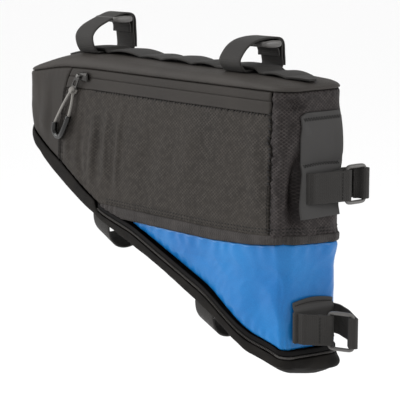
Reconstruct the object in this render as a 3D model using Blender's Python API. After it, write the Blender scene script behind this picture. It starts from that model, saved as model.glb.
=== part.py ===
# Bicycle frame bag: a three-sided cloth bag for the inside of a bicycle frame, +X to the seat tube,
# near side -Y, +Z up, origin on the top tube's axis midway between the two top strap loops.
import bpy
import bmesh
import math
from mathutils import Vector

# Sizes in millimetres, turned into metres when the points are made
mm = 0.001
gap = 0.3
lean_gap = 0.7
wall = 2.0

# Main body
length = 364.0
width = 72.0
depth = 238.0
corner = 18.0
half = width / 2.0
seam_drop = 33.0
strap_spacing = 203.0
strap_share = 0.785
strap_width = 26.0
strap_thick = 1.7
rear_x = length - (strap_share * length) + strap_spacing / 2.0
front_x = rear_x - length
pocket_rear_x = rear_x - corner
seam_z = -seam_drop

# Bands of the side, as heights below the lid seam
zip_slit = 8.2
zip_panel = 18.5
black_height = 123.0
trim_height = 11.0
band_height = 20.0
lid_height = 14.0
zip_strip = 4.6
coil_radius = 1.2

# How far each part stands out of the plan ring
trim_out = 1.2
band_out = 1.0
strip_out = -0.3
blue_in = 2.6
puff = 3.0

# Down-tube edge: share of the length from the front end, share of the depth below the lid seam
edge_rows = [
    # share_x, share_z
    (0.000, 0.276),
    (0.030, 0.312),
    (0.090, 0.391),
    (0.165, 0.462),
    (0.240, 0.525),
    (0.320, 0.584),
    (0.450, 0.655),
    (0.563, 0.718),
    (0.720, 0.822),
    (0.808, 0.891),
    (0.868, 0.933),
    (0.923, 0.966),
    (0.964, 0.992),
    (0.984, 1.000),
    (1.000, 0.980),
]
# Height of the black band on the sides, as a share of band_height
band_rows = [
    (0.000, 0.45),
    (0.090, 0.70),
    (0.165, 0.80),
    (0.240, 0.68),
    (0.320, 0.64),
    (0.450, 0.88),
    (0.563, 0.80),
    (0.720, 0.96),
    (0.808, 1.00),
    (0.923, 1.05),
    (1.000, 1.00),
]
# Lid: how far the seam dips and how high the top stands, as shares of lid_height
seam_rows = [
    # share_x, share
    (0.000, -0.58),
    (0.040, -0.50),
    (0.085, -0.32),
    (0.130, -0.12),
    (0.180, 0.02),
    (0.300, 0.06),
    (0.600, 0.00),
    (1.000, -0.05),
]
top_rows = [
    (0.000, -0.05),
    (0.050, 0.42),
    (0.110, 0.82),
    (0.180, 1.00),
    (0.300, 1.00),
    (0.600, 0.88),
    (0.800, 0.78),
    (0.920, 0.72),
    (1.000, 0.48),
]
# Lid edge: inset as a share of the half width, height as a share of the lid
lid_rows = [
    (0.000, 0.00),
    (0.010, 0.32),
    (0.045, 0.56),
    (0.120, 0.76),
    (0.260, 0.88),
    (0.480, 0.96),
    (0.780, 1.00),
]
# Front seam of the side pocket: share of black_height below the lid seam, share of the length
pocket_rows = [
    # share_z, share_x
    (0.00, 0.196),
    (0.05, 0.188),
    (0.11, 0.182),
    (0.20, 0.176),
    (0.35, 0.169),
    (0.55, 0.159),
    (0.75, 0.146),
    (1.00, 0.130),
]
# Soft upright folds of the near side: top and foot as shares of the length, half width and
# height in millimetres, start and end as shares of black_height
fold_rows = [
    # top_x, foot_x, half_width, height, start, end
    (0.030, 0.050, 12.0, -1.6, 0.05, 0.60),
    (0.100, 0.080, 11.0, 1.8, 0.05, 0.75),
    (0.215, 0.165, 9.0, 1.8, 0.22, 0.90),
    (0.262, 0.228, 9.0, -1.6, 0.25, 1.00),
    (0.315, 0.270, 9.0, 2.0, 0.22, 0.98),
    (0.372, 0.330, 9.0, -1.3, 0.30, 0.98),
    (0.425, 0.375, 9.0, 1.6, 0.20, 0.90),
    (0.550, 0.500, 18.0, -1.0, 0.30, 0.95),
    (0.900, 0.910, 14.0, 1.4, 0.20, 0.98),
]
# Dents and swells of the lower blue part: along, down, half sizes, height
blue_rows = [
    # share_x, share_z, half_x, half_z, height
    (0.560, 0.640, 40.0, 18.0, 0.9),
    (0.800, 0.620, 40.0, 16.0, 0.7),
    (0.860, 0.860, 13.0, 15.0, -2.0),
    (0.780, 0.790, 16.0, 12.0, 1.2),
    (0.930, 0.740, 14.0, 30.0, 1.2),
    (0.915, 0.900, 9.0, 12.0, 1.0),
]
# Dents and swells of the seat-tube end: across, down, half sizes, height
rear_rows = [
    # share_y, share_z, half_y, half_z, height
    (-0.95, 0.050, 15.0, 8.0, -2.2),
    (-0.62, 0.350, 9.0, 24.0, -1.8),
    (0.94, 0.260, 13.0, 24.0, 1.6),
    (-0.95, 0.200, 12.0, 24.0, 1.0),
]


def table(rows, share):
    # Smooth reading between the rows
    if share <= rows[0][0]:
        return rows[0][1]
    for low, high in zip(rows, rows[1:]):
        if share <= high[0]:
            t = (share - low[0]) / (high[0] - low[0])
            return low[1] + (high[1] - low[1]) * t
    return rows[-1][1]


def bump(t):
    if abs(t) >= 1.0:
        return 0.0
    return (1.0 - t * t) ** 2


def share_x(x):
    return (x - front_x) / length


def edge_z(x):
    return seam_z - depth * table(edge_rows, share_x(x))


def inner_z(x):
    return edge_z(x) + band_height * table(band_rows, share_x(x))


def lid_seam(x):
    return seam_z + lid_height * table(seam_rows, share_x(x))


def lid_top(x):
    return seam_z + lid_height * table(top_rows, share_x(x))


# The plan ring: distance along it is 0 at the middle of the front end, ring_half at the
# middle of the seat-tube end, and goes on round the far side
flat = half - corner
arc = corner * math.pi / 2.0
straight = length - 2.0 * corner
ring_half = 2.0 * flat + 2.0 * arc + straight


def ring(a):
    # Point and outward direction on the plan ring
    side = 1.0
    if a < 0.0:
        a = -a
        side = -1.0
    if a > ring_half:
        a = 2.0 * ring_half - a
        side = -side
    if a <= flat:
        x, y, nx, ny = front_x, -a, -1.0, 0.0
    elif a <= flat + arc:
        turn = (a - flat) / corner
        nx, ny = -math.cos(turn), -math.sin(turn)
        x, y = front_x + corner + corner * nx, -flat + corner * ny
    elif a <= flat + arc + straight:
        x, y, nx, ny = front_x + corner + a - flat - arc, -half, 0.0, -1.0
    elif a <= flat + 2.0 * arc + straight:
        turn = (a - flat - arc - straight) / corner
        nx, ny = math.sin(turn), -math.cos(turn)
        x, y = rear_x - corner + corner * nx, -flat + corner * ny
    else:
        x, y, nx, ny = rear_x, -(ring_half - a), 1.0, 0.0
    return x, y * side, nx, ny * side


def ring_at(x):
    # Distance along the ring of a place on the straight near side
    return flat + arc + (x - front_x - corner)


def skin(a, z):
    # Swell of the black upper part at a place on the ring
    x, y, nx, ny = ring(a)
    down = (seam_z - z) / black_height
    along = share_x(x)
    hang = max(0.0, min(1.0, (z - inner_z(x)) / band_height))
    rise = puff * math.sin(math.pi * max(0.0, min(1.0, down))) * math.sin(math.pi * along) ** 0.6
    out = rise * abs(ny) * hang
    if ny < 0.0:
        for top_x, foot_x, spread, height, start, end in fold_rows:
            if start < down < end:
                t = (down - start) / (end - start)
                middle = top_x + (foot_x - top_x) * t
                out += hang * height * math.sin(math.pi * t) * bump((along - middle) * length / spread)
    if x > pocket_rear_x - corner:
        for share_y, share_z, spread_y, spread_z, height in rear_rows:
            across = math.hypot(y - share_y * half, (rear_x - x) * 0.5)
            low = seam_z - share_z * depth - z
            out += height * bump(across / spread_y) * bump(low / spread_z)
    return out


def blue_skin(a, z):
    # Sink of the lower blue part at a place on the ring
    x, y, nx, ny = ring(a)
    below = (seam_z - black_height - trim_height) - z
    above = z - inner_z(x)
    foot = abs(ny) * max(0.0, 1.0 - above / band_height)
    out = -gap - blue_in * max(0.0, min(1.0, below / corner)) * (1.0 - 0.5 * foot)
    if ny < 0.0:
        for place_x, share_z, spread_x, spread_z, height in blue_rows:
            along = (share_x(x) - place_x) * length / spread_x
            low = (seam_z - share_z * depth - z) / spread_z
            room = max(0.0, min(1.0, above / corner)) * max(0.0, min(1.0, below / corner))
            out += room * height * bump(along) * bump(low)
    return out


def finish(name, bm, colour, rough=0.8, metal=0.0, smooth=True):
    # Turn a built mesh into an object with its own material
    for vert in bm.verts:
        vert.co = vert.co * mm
    bmesh.ops.recalc_face_normals(bm, faces=bm.faces)
    mesh = bpy.data.meshes.new(name)
    bm.to_mesh(mesh)
    bm.free()
    piece = bpy.data.objects.new(name, mesh)
    bpy.context.scene.collection.objects.link(piece)
    material = bpy.data.materials.new(name)
    material.use_nodes = True
    shader = material.node_tree.nodes["Principled BSDF"]
    shader.inputs["Base Color"].default_value = (*colour, 1.0)
    shader.inputs["Roughness"].default_value = rough
    shader.inputs["Metallic"].default_value = metal
    mesh.materials.append(material)
    for face in mesh.polygons:
        face.use_smooth = smooth
    return piece


def slab(bm, outside, inside):
    # Closed sheet between two grids of points of the same size
    front = [[bm.verts.new(p) for p in row] for row in outside]
    back = [[bm.verts.new(p) for p in row] for row in inside]
    rows, cols = len(front), len(front[0])
    for i in range(rows - 1):
        for j in range(cols - 1):
            bm.faces.new((front[i][j], front[i][j + 1], front[i + 1][j + 1], front[i + 1][j]))
            bm.faces.new((back[i][j], back[i + 1][j], back[i + 1][j + 1], back[i][j + 1]))
    for i in range(rows - 1):
        bm.faces.new((front[i][0], front[i + 1][0], back[i + 1][0], back[i][0]))
        bm.faces.new((front[i][-1], back[i][-1], back[i + 1][-1], front[i + 1][-1]))
    for j in range(cols - 1):
        bm.faces.new((front[0][j], back[0][j], back[0][j + 1], front[0][j + 1]))
        bm.faces.new((front[-1][j], front[-1][j + 1], back[-1][j + 1], back[-1][j]))


def stations(start, end, step, stops=()):
    # Even places from start to end that also hold every stop between them
    marks = [start] + sorted(s for s in stops if start + gap < s < end - gap) + [end]
    places = [start]
    for low, high in zip(marks, marks[1:]):
        count = max(1, round((high - low) / step))
        places += [low + (high - low) * k / count for k in range(1, count + 1)]
    return places


corner_stops = [flat, flat + arc, flat + arc + straight, flat + 2 * arc + straight]
row_stops = sorted(set(ring_at(front_x + length * row[0]) for row in edge_rows + band_rows))
row_stops = [s for s in row_stops if corner_stops[1] < s < corner_stops[2]]
near_stops = corner_stops + row_stops
ring_stops = [-s for s in near_stops] + near_stops + [2 * ring_half - s for s in near_stops]


def arcs(base):
    # Quarter stops of the round corners
    marks = []
    for start in (flat, flat + arc + straight):
        for k in range(1, 4):
            a = start + arc * k / 4.0
            marks += [a, -a, 2 * ring_half - a]
    return [m for m in marks if base[0] < m < base[1]]


def wall_grid(a_start, a_end, z_low, z_high, step, rows):
    # Grid on the ring between two ends and two heights; each end may lean with height
    left = a_start if callable(a_start) else (lambda z: a_start)
    right = a_end if callable(a_end) else (lambda z: a_end)
    mid_z = (seam_z - black_height / 2.0)
    base = stations(left(mid_z), right(mid_z), step, ring_stops)
    base = sorted(set(base + arcs((base[0], base[-1]))))
    shares = [(s - base[0]) / (base[-1] - base[0]) for s in base]
    grid = []
    for k in range(rows + 1):
        row = []
        v = k / rows
        for share in shares:
            z = mid_z
            a = left(z) + (right(z) - left(z)) * share
            for settle in range(3):
                z = z_low(a) + (z_high(a) - z_low(a)) * v
                a = left(z) + (right(z) - left(z)) * share
            row.append((a, z))
        grid.append(row)
    return grid


def wall_piece(name, grid, out, thick, colour, rough=0.8):
    # Cloth wall on the ring: outer face at out, inner face thick below it
    outside = []
    inside = []
    for row in grid:
        outside.append([])
        inside.append([])
        for a, z in row:
            x, y, nx, ny = ring(a)
            lift = out(a, z)
            outside[-1].append(Vector((x + nx * lift, y + ny * lift, z)))
            sink = lift - thick
            inside[-1].append(Vector((x + nx * sink, y + ny * sink, z)))
    bm = bmesh.new()
    slab(bm, outside, inside)
    return finish(name, bm, colour, rough)


def dish(name, levels, inner_levels, colour, rough, near_step, stops=()):
    # Ring-lofted tray or lid; each level gives the point over one place of the ring, and the
    # middle is closed by strips from the near side to the far side
    half_marks = stations(0.0, ring_half, near_step, near_stops + list(stops))
    for stop in (corner_stops[0], corner_stops[2]):
        half_marks += [stop + arc * k / 4.0 for k in range(1, 4)]
    half_marks = sorted(set(round(m, 4) for m in half_marks))
    tidy = [half_marks[0]]
    for mark in half_marks[1:]:
        if mark - tidy[-1] > 1.5:
            tidy.append(mark)
    around = tidy + [2 * ring_half - m for m in reversed(tidy[1:-1])]
    bm = bmesh.new()
    shells = []
    for group in (levels, inner_levels):
        shells.append([[bm.verts.new(level(a)) for a in around] for level in group])
    count = len(around)
    last = len(tidy) - 1
    for shell in shells:
        for low, high in zip(shell, shell[1:]):
            for i in range(count):
                j = (i + 1) % count
                bm.faces.new((low[i], low[j], high[j], high[i]))
        top = shell[-1]
        for i in range(last):
            near = (top[i], top[i + 1])
            far = (top[(count - i - 1) % count], top[(count - i) % count])
            quad = []
            for vert in near + far:
                if vert not in quad:
                    quad.append(vert)
            bm.faces.new(quad)
    for i in range(count):
        j = (i + 1) % count
        bm.faces.new((shells[0][0][i], shells[1][0][i], shells[1][0][j], shells[0][0][j]))
    return finish(name, bm, colour, rough)


def inset_point(a, inset):
    # Place on the plan moved in from the ring towards the middle line
    x, y, nx, ny = ring(a)
    middle = max(front_x + half, min(rear_x - half, x))
    keep = 1.0 - inset / half
    return middle + (x - middle) * keep, y * keep


black = (0.070, 0.064, 0.060)
coated = (0.085, 0.080, 0.076)
webbing = (0.058, 0.055, 0.053)
rubber = (0.062, 0.060, 0.059)
dark = (0.028, 0.025, 0.023)
grey = (0.105, 0.100, 0.095)
blue = (0.020, 0.190, 0.560)

for old in list(bpy.data.objects):
    bpy.data.objects.remove(old, do_unlink=True)


# Lid
def lid_level(inset, rise, sink=0.0):
    def place(a):
        x, y = inset_point(a, inset)
        rim = lid_seam(ring(a)[0]) + gap / 2.0
        return Vector((x, y, rim + (lid_top(x) - rim) * rise - sink))
    return place


lid_out = [lid_level(half * inset, rise) for inset, rise in lid_rows]
lid_in = [lid_level(wall, 0.0)]
for inset, rise in lid_rows[2:]:
    lid_in.append(lid_level(max(half * inset, wall * 1.02) + wall * (1.0 - rise) * 0.6, rise, wall))
dish("top_panel", lid_out, lid_in, coated, 0.6, 17.0)


# Side walls
def low_black(a):
    return max(seam_z - black_height, inner_z(ring(a)[0]) + lean_gap)


def high_black(a):
    return lid_seam(ring(a)[0]) - gap / 2.0


def pocket_front(z):
    down = (seam_z - z) / black_height
    return ring_at(front_x + length * table(pocket_rows, down))


pocket_rear = ring_at(pocket_rear_x)


def near_front(z):
    return pocket_front(z) - gap / 2.0


def far_front(z):
    return -near_front(z)


def near_back(z):
    return pocket_front(z) + lean_gap


def far_back(z):
    return 2.0 * ring_half - near_back(z)


def slit_z(a):
    return lid_seam(ring(a)[0]) - zip_slit


def zip_edge_z(a):
    return lid_seam(ring(a)[0]) - zip_panel


front_grid = wall_grid(far_front, near_front, low_black, high_black, 12.0, 8)
wall_piece("front_panel", front_grid, skin, wall, coated, 0.6)

pocket_grid = wall_grid(near_back, pocket_rear - gap / 2.0, low_black,
                        lambda a: zip_edge_z(a) - gap / 2.0, 7.6, 9)
wall_piece("pocket_panel", pocket_grid, skin, wall, black, 0.8)

upper_grid = wall_grid(near_back, pocket_rear - gap / 2.0, lambda a: slit_z(a) + gap / 2.0,
                       high_black, 14.0, 1)
wall_piece("zip_tape_upper", upper_grid, skin, wall, coated, 0.5)

lower_grid = wall_grid(near_back, pocket_rear - gap / 2.0, lambda a: zip_edge_z(a) + gap / 2.0,
                       lambda a: slit_z(a) - gap / 2.0, 14.0, 1)
wall_piece("zip_tape_lower", lower_grid, skin, wall, coated, 0.5)

rear_grid = wall_grid(pocket_rear + gap / 2.0, 2 * ring_half - pocket_rear - gap / 2.0, low_black,
                      high_black, 10.0, 10)
wall_piece("rear_panel", rear_grid, skin, wall, black, 0.8)

far_grid = wall_grid(2 * ring_half - pocket_rear + gap / 2.0, far_back, low_black, high_black, 18.0, 6)
wall_piece("far_panel", far_grid, skin, wall, black, 0.8)


def first_x(level):
    # Place along the near side where the band's upper edge falls to a level
    low, high = front_x + corner, rear_x - corner
    for step in range(40):
        middle = (low + high) / 2.0
        if inner_z(middle) > level:
            low = middle
        else:
            high = middle
    return high


trim_top = seam_z - black_height - gap
trim_foot = seam_z - black_height - trim_height
trim_start = ring_at(first_x(trim_top - gap - 2.0))
blue_start = ring_at(first_x(trim_foot - 2.0 * gap - 2.0))


def trim_skin(a, z):
    x, y, nx, ny = ring(a)
    pucker = math.sin((x - front_x) * 0.9) * bump((a - trim_start - 12.0) / 16.0) * 0.5
    pucker += math.sin(a * 1.3) * bump((a - pocket_rear - 10.0) / 22.0) * 0.35
    return trim_out + pucker


def low_trim(a):
    return max(trim_foot, inner_z(ring(a)[0]) + gap)


trim_grid = wall_grid(trim_start, 2 * ring_half - trim_start, low_trim, lambda a: trim_top,
                      9.0, 1)
wall_piece("trim_band", trim_grid, trim_skin, wall + gap, grey, 0.6)

blue_grid = wall_grid(blue_start, 2 * ring_half - blue_start, lambda a: inner_z(ring(a)[0]) + gap,
                      lambda a: trim_foot - gap, 10.0, 7)
wall_piece("lower_shell", blue_grid, blue_skin, wall, blue, 0.25)

# Expansion zip: tape strip and coil round the foot of the blue part
strip_start = ring_at(first_x(trim_top - gap))
strip_grid = wall_grid(strip_start, 2 * ring_half - strip_start,
                       lambda a: inner_z(ring(a)[0]) - zip_strip,
                       lambda a: inner_z(ring(a)[0]), 12.0, 1)
wall_piece("expansion_tape", strip_grid, lambda a, z: strip_out, wall, dark, 0.7)


def tube(name, points, radius, sides, colour, rough=0.6, metal=0.0, closed=False, bore=0.0):
    # Round bar through points; a bore makes it a pipe
    count = len(points)
    bm = bmesh.new()
    tangents = []
    for i, point in enumerate(points):
        before = points[i - 1] if (i > 0 or closed) else point
        after = points[(i + 1) % count] if (i < count - 1 or closed) else point
        tangents.append((after - before).normalized())
    lift = Vector((0.0, 0.0, 1.0)) if abs(tangents[0].z) < 0.8 else Vector((0.0, 1.0, 0.0))
    shells = []
    for size in ((radius, bore) if bore else (radius,)):
        side = tangents[0].cross(lift).normalized()
        loops = []
        for point, tangent in zip(points, tangents):
            side = (side - tangent * side.dot(tangent)).normalized()
            other = tangent.cross(side)
            loop = []
            for k in range(sides):
                turn = 2.0 * math.pi * k / sides
                loop.append(bm.verts.new(point + (side * math.cos(turn) + other * math.sin(turn)) * size))
            loops.append(loop)
        shells.append(loops)
    for loops in shells:
        pairs = list(zip(loops, loops[1:])) + ([(loops[-1], loops[0])] if closed else [])
        for low, high in pairs:
            for k in range(sides):
                m = (k + 1) % sides
                bm.faces.new((low[k], low[m], high[m], high[k]))
    if bore:
        for end in (0, -1):
            for k in range(sides):
                m = (k + 1) % sides
                bm.faces.new((shells[0][end][k], shells[0][end][m], shells[1][end][m], shells[1][end][k]))
    elif not closed:
        bm.faces.new(shells[0][0])
        bm.faces.new(list(reversed(shells[0][-1])))
    return finish(name, bm, colour, rough, metal)


coil_drop = zip_strip + gap + coil_radius
coil_marks = stations(strip_start, 2 * ring_half - strip_start, 14.0, ring_stops)
coil_marks = sorted(set(coil_marks + arcs((strip_start, 2 * ring_half - strip_start))))
coil_points = []
for a in coil_marks:
    x, y, nx, ny = ring(a)
    lift = strip_out - wall / 2.0
    coil_points.append(Vector((x + nx * lift, y + ny * lift, inner_z(x) - coil_drop)))
tube("expansion_coil", coil_points, coil_radius, 6, dark, 0.5)


# Down-tube band: flange round the foot of the walls and the sheet against the down tube
foot_sag = 1.6
end_sag = 6.5


def sag(x):
    # How far the foot sheet hangs below the edge line; the seat-tube end hangs deepest
    return foot_sag + end_sag * bump((share_x(x) - 0.955) / 0.115)


def flange_z(a):
    x = ring(a)[0]
    drop = coil_drop + coil_radius + gap
    along = min(a, 2 * ring_half - a) - strip_start + 2.0 * wall
    return inner_z(x) - gap - drop * max(0.0, min(1.0, along / (2.0 * wall - gap)))


def band_side(share, lift, raise_by=0.0):
    def place(a):
        x, y, nx, ny = ring(a)
        top = flange_z(a)
        foot = edge_z(x)
        return Vector((x + nx * lift, y + ny * lift, foot + (top - foot) * share + raise_by))
    return place


def band_floor(inset, hang, raise_by=0.0):
    def place(a):
        x, y = inset_point(a, inset)
        return Vector((x, y, edge_z(x) + raise_by - sag(x) * hang))
    return place


band_outer = [band_side(1.0, band_out), band_side(0.25, band_out + gap), band_floor(1.0, 0.0, 0.5),
              band_floor(half * 0.25, 0.5), band_floor(half * 0.75, 1.0)]
band_inner = [band_side(1.0, band_out - wall), band_side(0.3, band_out - wall, wall),
              band_floor(half * 0.25, 0.5, wall), band_floor(half * 0.75, 1.0, wall)]
dish("down_tube_band", band_outer, band_inner, dark, 0.8, 15.0,
     (strip_start - 2.0 * wall, strip_start - gap))


def lid_surface(x, y):
    rim = lid_seam(x) + gap / 2.0
    return rim + (lid_top(x) - rim) * table(lid_rows, (half - abs(y)) / half)


def smooth_path(points, parts):
    # Curve through the points, each step cut into parts
    path = []
    count = len(points)
    for i in range(count - 1):
        a = points[max(i - 1, 0)]
        b, c = points[i], points[i + 1]
        d = points[min(i + 2, count - 1)]
        for k in range(parts):
            t = k / parts
            pull = (c - a) * (t * (1 - t) ** 2 * 0.5) - (d - b) * (t * t * (1 - t) * 0.5)
            path.append(b + (c - b) * (t * t * (3 - 2 * t)) + pull)
    path.append(points[-1])
    return path


def ribbon(name, path, across, wide, thick, colour, rough=0.85, closed=False):
    # Flat strap along a path; across is its width direction
    count = len(path)
    outside = []
    inside = []
    for i, point in enumerate(path):
        before = path[i - 1] if (i > 0 or closed) else point
        after = path[(i + 1) % count] if (i < count - 1 or closed) else point
        up = (after - before).cross(across).normalized() * (thick / 2.0)
        outside.append([point + up + across * (wide / 2.0), point + up - across * (wide / 2.0)])
        inside.append([point - up + across * (wide / 2.0), point - up - across * (wide / 2.0)])
    bm = bmesh.new()
    if closed:
        loops = []
        for upper, lower in zip(outside, inside):
            loops.append([bm.verts.new(p) for p in (upper[0], upper[1], lower[1], lower[0])])
        for low, high in zip(loops, loops[1:] + loops[:1]):
            for k in range(4):
                m = (k + 1) % 4
                bm.faces.new((low[k], low[m], high[m], high[k]))
    else:
        slab(bm, outside, inside)
    return finish(name, bm, colour, rough)


def ring_loop(name, centre, along, across, reach, wide, bar, rise):
    # Oblong plastic loop: round bars across the strap, deeper lens-shaped bars beside it
    up = along.cross(across).normalized()
    bend = 1.6 * bar
    reach -= bar
    wide -= bar
    places = []
    for sign_u, sign_v, start in ((1, 1, 0), (-1, 1, 90), (-1, -1, 180), (1, -1, 270)):
        hub_u, hub_v = sign_u * (reach - bend), sign_v * (wide - bend)
        for k in range(4):
            turn = math.radians(start + 30 * k)
            places.append((hub_u + bend * math.cos(turn), hub_v + bend * math.sin(turn), turn))
        if start in (0, 180):
            places.append((0.0, hub_v + bend * sign_v, math.radians(90 + start)))
        else:
            places.append((hub_u + bend * sign_u, 0.0, math.radians(90 + start)))
    bm = bmesh.new()
    loops = []
    for u, v, turn in places:
        out = along * math.cos(turn) + across * math.sin(turn)
        side = min(1.0, abs(v) / wide) ** 3
        tall = bar + rise * side * bump(u / (reach * 1.15))
        loop = []
        for k in range(6):
            spin = math.pi * k / 3.0
            point = centre + along * u + across * v
            loop.append(bm.verts.new(point + out * (bar * math.cos(spin)) + up * (tall * math.sin(spin))))
        loops.append(loop)
    for low, high in zip(loops, loops[1:] + loops[:1]):
        for k in range(6):
            m = (k + 1) % 6
            bm.faces.new((low[k], low[m], high[m], high[k]))
    return finish(name, bm, grey, 0.45)


# Stiff tape along the top, held down between low arches
tape_half = 15.0
tape_thick = 1.8
tape_lift = 0.5
front_strap = share_x(-strap_spacing / 2.0)
arch_rows = [
    # start, end as shares of the length; height; straight top or round
    (front_strap - 0.046, front_strap + 0.054, 2.6, True),
    (front_strap + 0.054, 0.415, 2.6, False),
    (0.415, 0.497, 1.3, False),
    (0.497, 0.618, 2.6, False),
    (0.618, 0.700, 2.4, False),
    (0.725, 0.850, 2.6, True),
    (0.865, 0.937, 1.8, False),
]
tape_front = 0.122
tape_shoulder = 0.940
tape_tip = 0.984


def tape_rise(share):
    for start, end, height, level in arch_rows:
        if start < share < end:
            t = (share - start) / (end - start)
            if level:
                return height * min(1.0, t / 0.12, (1.0 - t) / 0.12)
            return height * math.sin(math.pi * t) ** 1.3
    return 0.0


tape_marks = [tape_front, 0.150, tape_shoulder, 0.955, 0.970, tape_tip]
for start, end, height, level in arch_rows:
    steps = (0.0, 0.12, 0.5, 0.88, 1.0) if level else (0.0, 0.17, 0.34, 0.5, 0.66, 0.83, 1.0)
    tape_marks += [start + (end - start) * t for t in steps]
tape_marks = sorted(set(round(m, 5) for m in tape_marks))
tape_top = []
tape_foot = []
for share in tape_marks:
    x = front_x + length * share
    narrow = max(0.0, (share - tape_shoulder) / (tape_tip - tape_shoulder))
    side = tape_half * (1.0 - 0.72 * narrow)
    tape_top.append([])
    tape_foot.append([])
    for place in (-1.0, -0.45, 0.45, 1.0):
        z = lid_surface(x, place * side) + tape_lift + tape_rise(share)
        tape_foot[-1].append(Vector((x, place * side, z)))
        tape_top[-1].append(Vector((x, place * side, z + tape_thick)))
tape_mesh = bmesh.new()
slab(tape_mesh, tape_top, tape_foot)
finish("daisy_tape", tape_mesh, webbing, 0.85)

# Top straps: each runs under the tape, round the top tube and back down the far side
ring_centre = (8.5, 30.5)
ring_reach = 12.2
ring_bar = 2.0
ring_wide = strap_width / 2.0 + ring_bar * 2.0 + gap
wrap = ring_bar + gap + strap_thick / 2.0
bar_y = ring_centre[0] + ring_reach - ring_bar
top_strap_rows = [
    # across, height over the lid
    (bar_y - 0.4, 18.0),
    (bar_y - 0.5, 24.0),
    (bar_y - wrap * 0.72, ring_centre[1] - wrap * 0.92),
    (bar_y - wrap, ring_centre[1]),
    (bar_y - wrap * 0.7, ring_centre[1] + wrap * 0.7),
    (bar_y, ring_centre[1] + wrap),
    (bar_y + wrap * 0.7, ring_centre[1] + wrap * 0.7),
    (bar_y + wrap, ring_centre[1]),
    (bar_y + wrap, 20.0),
    (bar_y + wrap + 1.2, 8.0),
    (22.4, 2.8),
    (19.4, 0.62),
    (8.0, 1.35),
    (-8.0, 1.35),
    (-19.4, 0.62),
    (-22.6, 2.9),
    (-25.4, 8.0),
    (-27.2, 15.5),
    (-25.6, 23.5),
    (-19.8, 30.5),
    (-10.5, 34.8),
    (0.0, 36.2),
    (11.0, 36.6),
    (20.0, 35.6),
    (24.0, 31.6),
    (24.6, 22.0),
    (25.2, 13.0),
    (26.0, 7.5),
]
strap_places = {
    # name: place along the bag; how far the slack loop has sunk
    "front": (-strap_spacing / 2.0, 0.0),
    "rear": (strap_spacing / 2.0, 8.5),
}
sink_low = 3.0
sink_high = 22.0


def sunk(rise, slack):
    # Height of a place on a top strap once the loop has sunk
    return rise - slack * max(0.0, min(1.0, (rise - sink_low) / (sink_high - sink_low)))


for place, (x, slack) in strap_places.items():
    base = lid_top(x)
    path = [Vector((x, y, base + sunk(rise, slack))) for y, rise in top_strap_rows]
    ribbon("top_strap_" + place, smooth_path(path, 2), Vector((1, 0, 0)), strap_width, strap_thick, webbing)
    middle = Vector((x, ring_centre[0], base + sunk(ring_centre[1], slack)))
    ring_loop("top_ring_" + place, middle, Vector((0, 1, 0)), Vector((1, 0, 0)), ring_reach, ring_wide,
              ring_bar, 1.1)

# Down-tube straps: loops that hang straight down under the band
down_rows = [
    # across, drop below the edge line as seen square to it
    (0.0, 2.75),
    (9.0, 2.75),
    (19.0, 2.45),
    (22.6, 4.6),
    (24.6, 10.0),
    (23.4, 18.5),
    (17.0, 26.0),
    (6.5, 30.2),
    (-6.5, 30.2),
    (-17.0, 26.0),
    (-23.4, 18.5),
    (-24.6, 10.0),
    (-22.6, 4.6),
    (-19.0, 2.45),
    (-9.0, 2.75),
]
down_shares = {"front": 0.283, "rear": 0.676}
for place, share in down_shares.items():
    x = front_x + length * share
    reach = strap_width * 0.4
    slope = (edge_z(x + reach) - edge_z(x - reach)) / (2.0 * reach)
    along = Vector((1.0, 0.0, slope)).normalized()
    centre = Vector((x, 0.0, edge_z(x)))
    path = [centre + Vector((0.0, y, -off / along.x)) for y, off in down_rows]
    ribbon("down_strap_" + place, path, along, strap_width, strap_thick, webbing, closed=True)

# Seat-tube patches and straps
patch_thick = 1.6
patch_half = 21.8
strap_room = strap_thick + 2.0 * gap
end_foot = depth * table(edge_rows, 1.0) - band_height * table(band_rows, 1.0)
patches = {
    # name: level; top, middle, strap centre and foot below that level; shift across; flare
    "upper": (0.0, 18.0, 60.0, 80.0, 105.0, 1.5, 3.0),
    "lower": (end_foot, -38.74, -32.74, -16.24, -1.74, -1.5, 1.2),
}
for place, (level, top, sewn, strap_mid, foot, shift, flare) in patches.items():
    top, sewn, strap_mid, foot = [level + drop for drop in (top, sewn, strap_mid, foot)]
    face_out = 0.0 if place == "upper" else -gap - blue_in
    strap_top = strap_mid - strap_width / 2.0
    strap_foot = strap_mid + strap_width / 2.0
    patch_rows = [
        # depth below the seam, gap under the patch, share of the half width
        (top, gap, 0.93),
        (top + 1.6, gap, 1.0),
        ((top + sewn) / 2.0, gap, 1.0),
        (sewn, gap, 1.0),
        (strap_top - 1.0, strap_room, 0.99),
        (strap_foot + 1.0, strap_room, 0.99),
        (foot, strap_room + flare, 0.92),
    ]
    outer = []
    inner = []
    for drop, lift, share in patch_rows:
        outer.append([])
        inner.append([])
        for across in (-1.0, -0.8, 0.8, 1.0):
            a = ring_half + shift + across * patch_half * share
            x, y, nx, ny = ring(a)
            bulge = skin(a, seam_z - drop) if place == "upper" else 0.0
            low = face_out + lift + max(0.0, bulge) * 1.2
            inner[-1].append(Vector((x + nx * low, y + ny * low, seam_z - drop)))
            low += patch_thick
            outer[-1].append(Vector((x + nx * low, y + ny * low, seam_z - drop)))
    patch_mesh = bmesh.new()
    slab(patch_mesh, outer, inner)
    finish("seat_patch_" + place, patch_mesh, rubber, 0.75)

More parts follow.
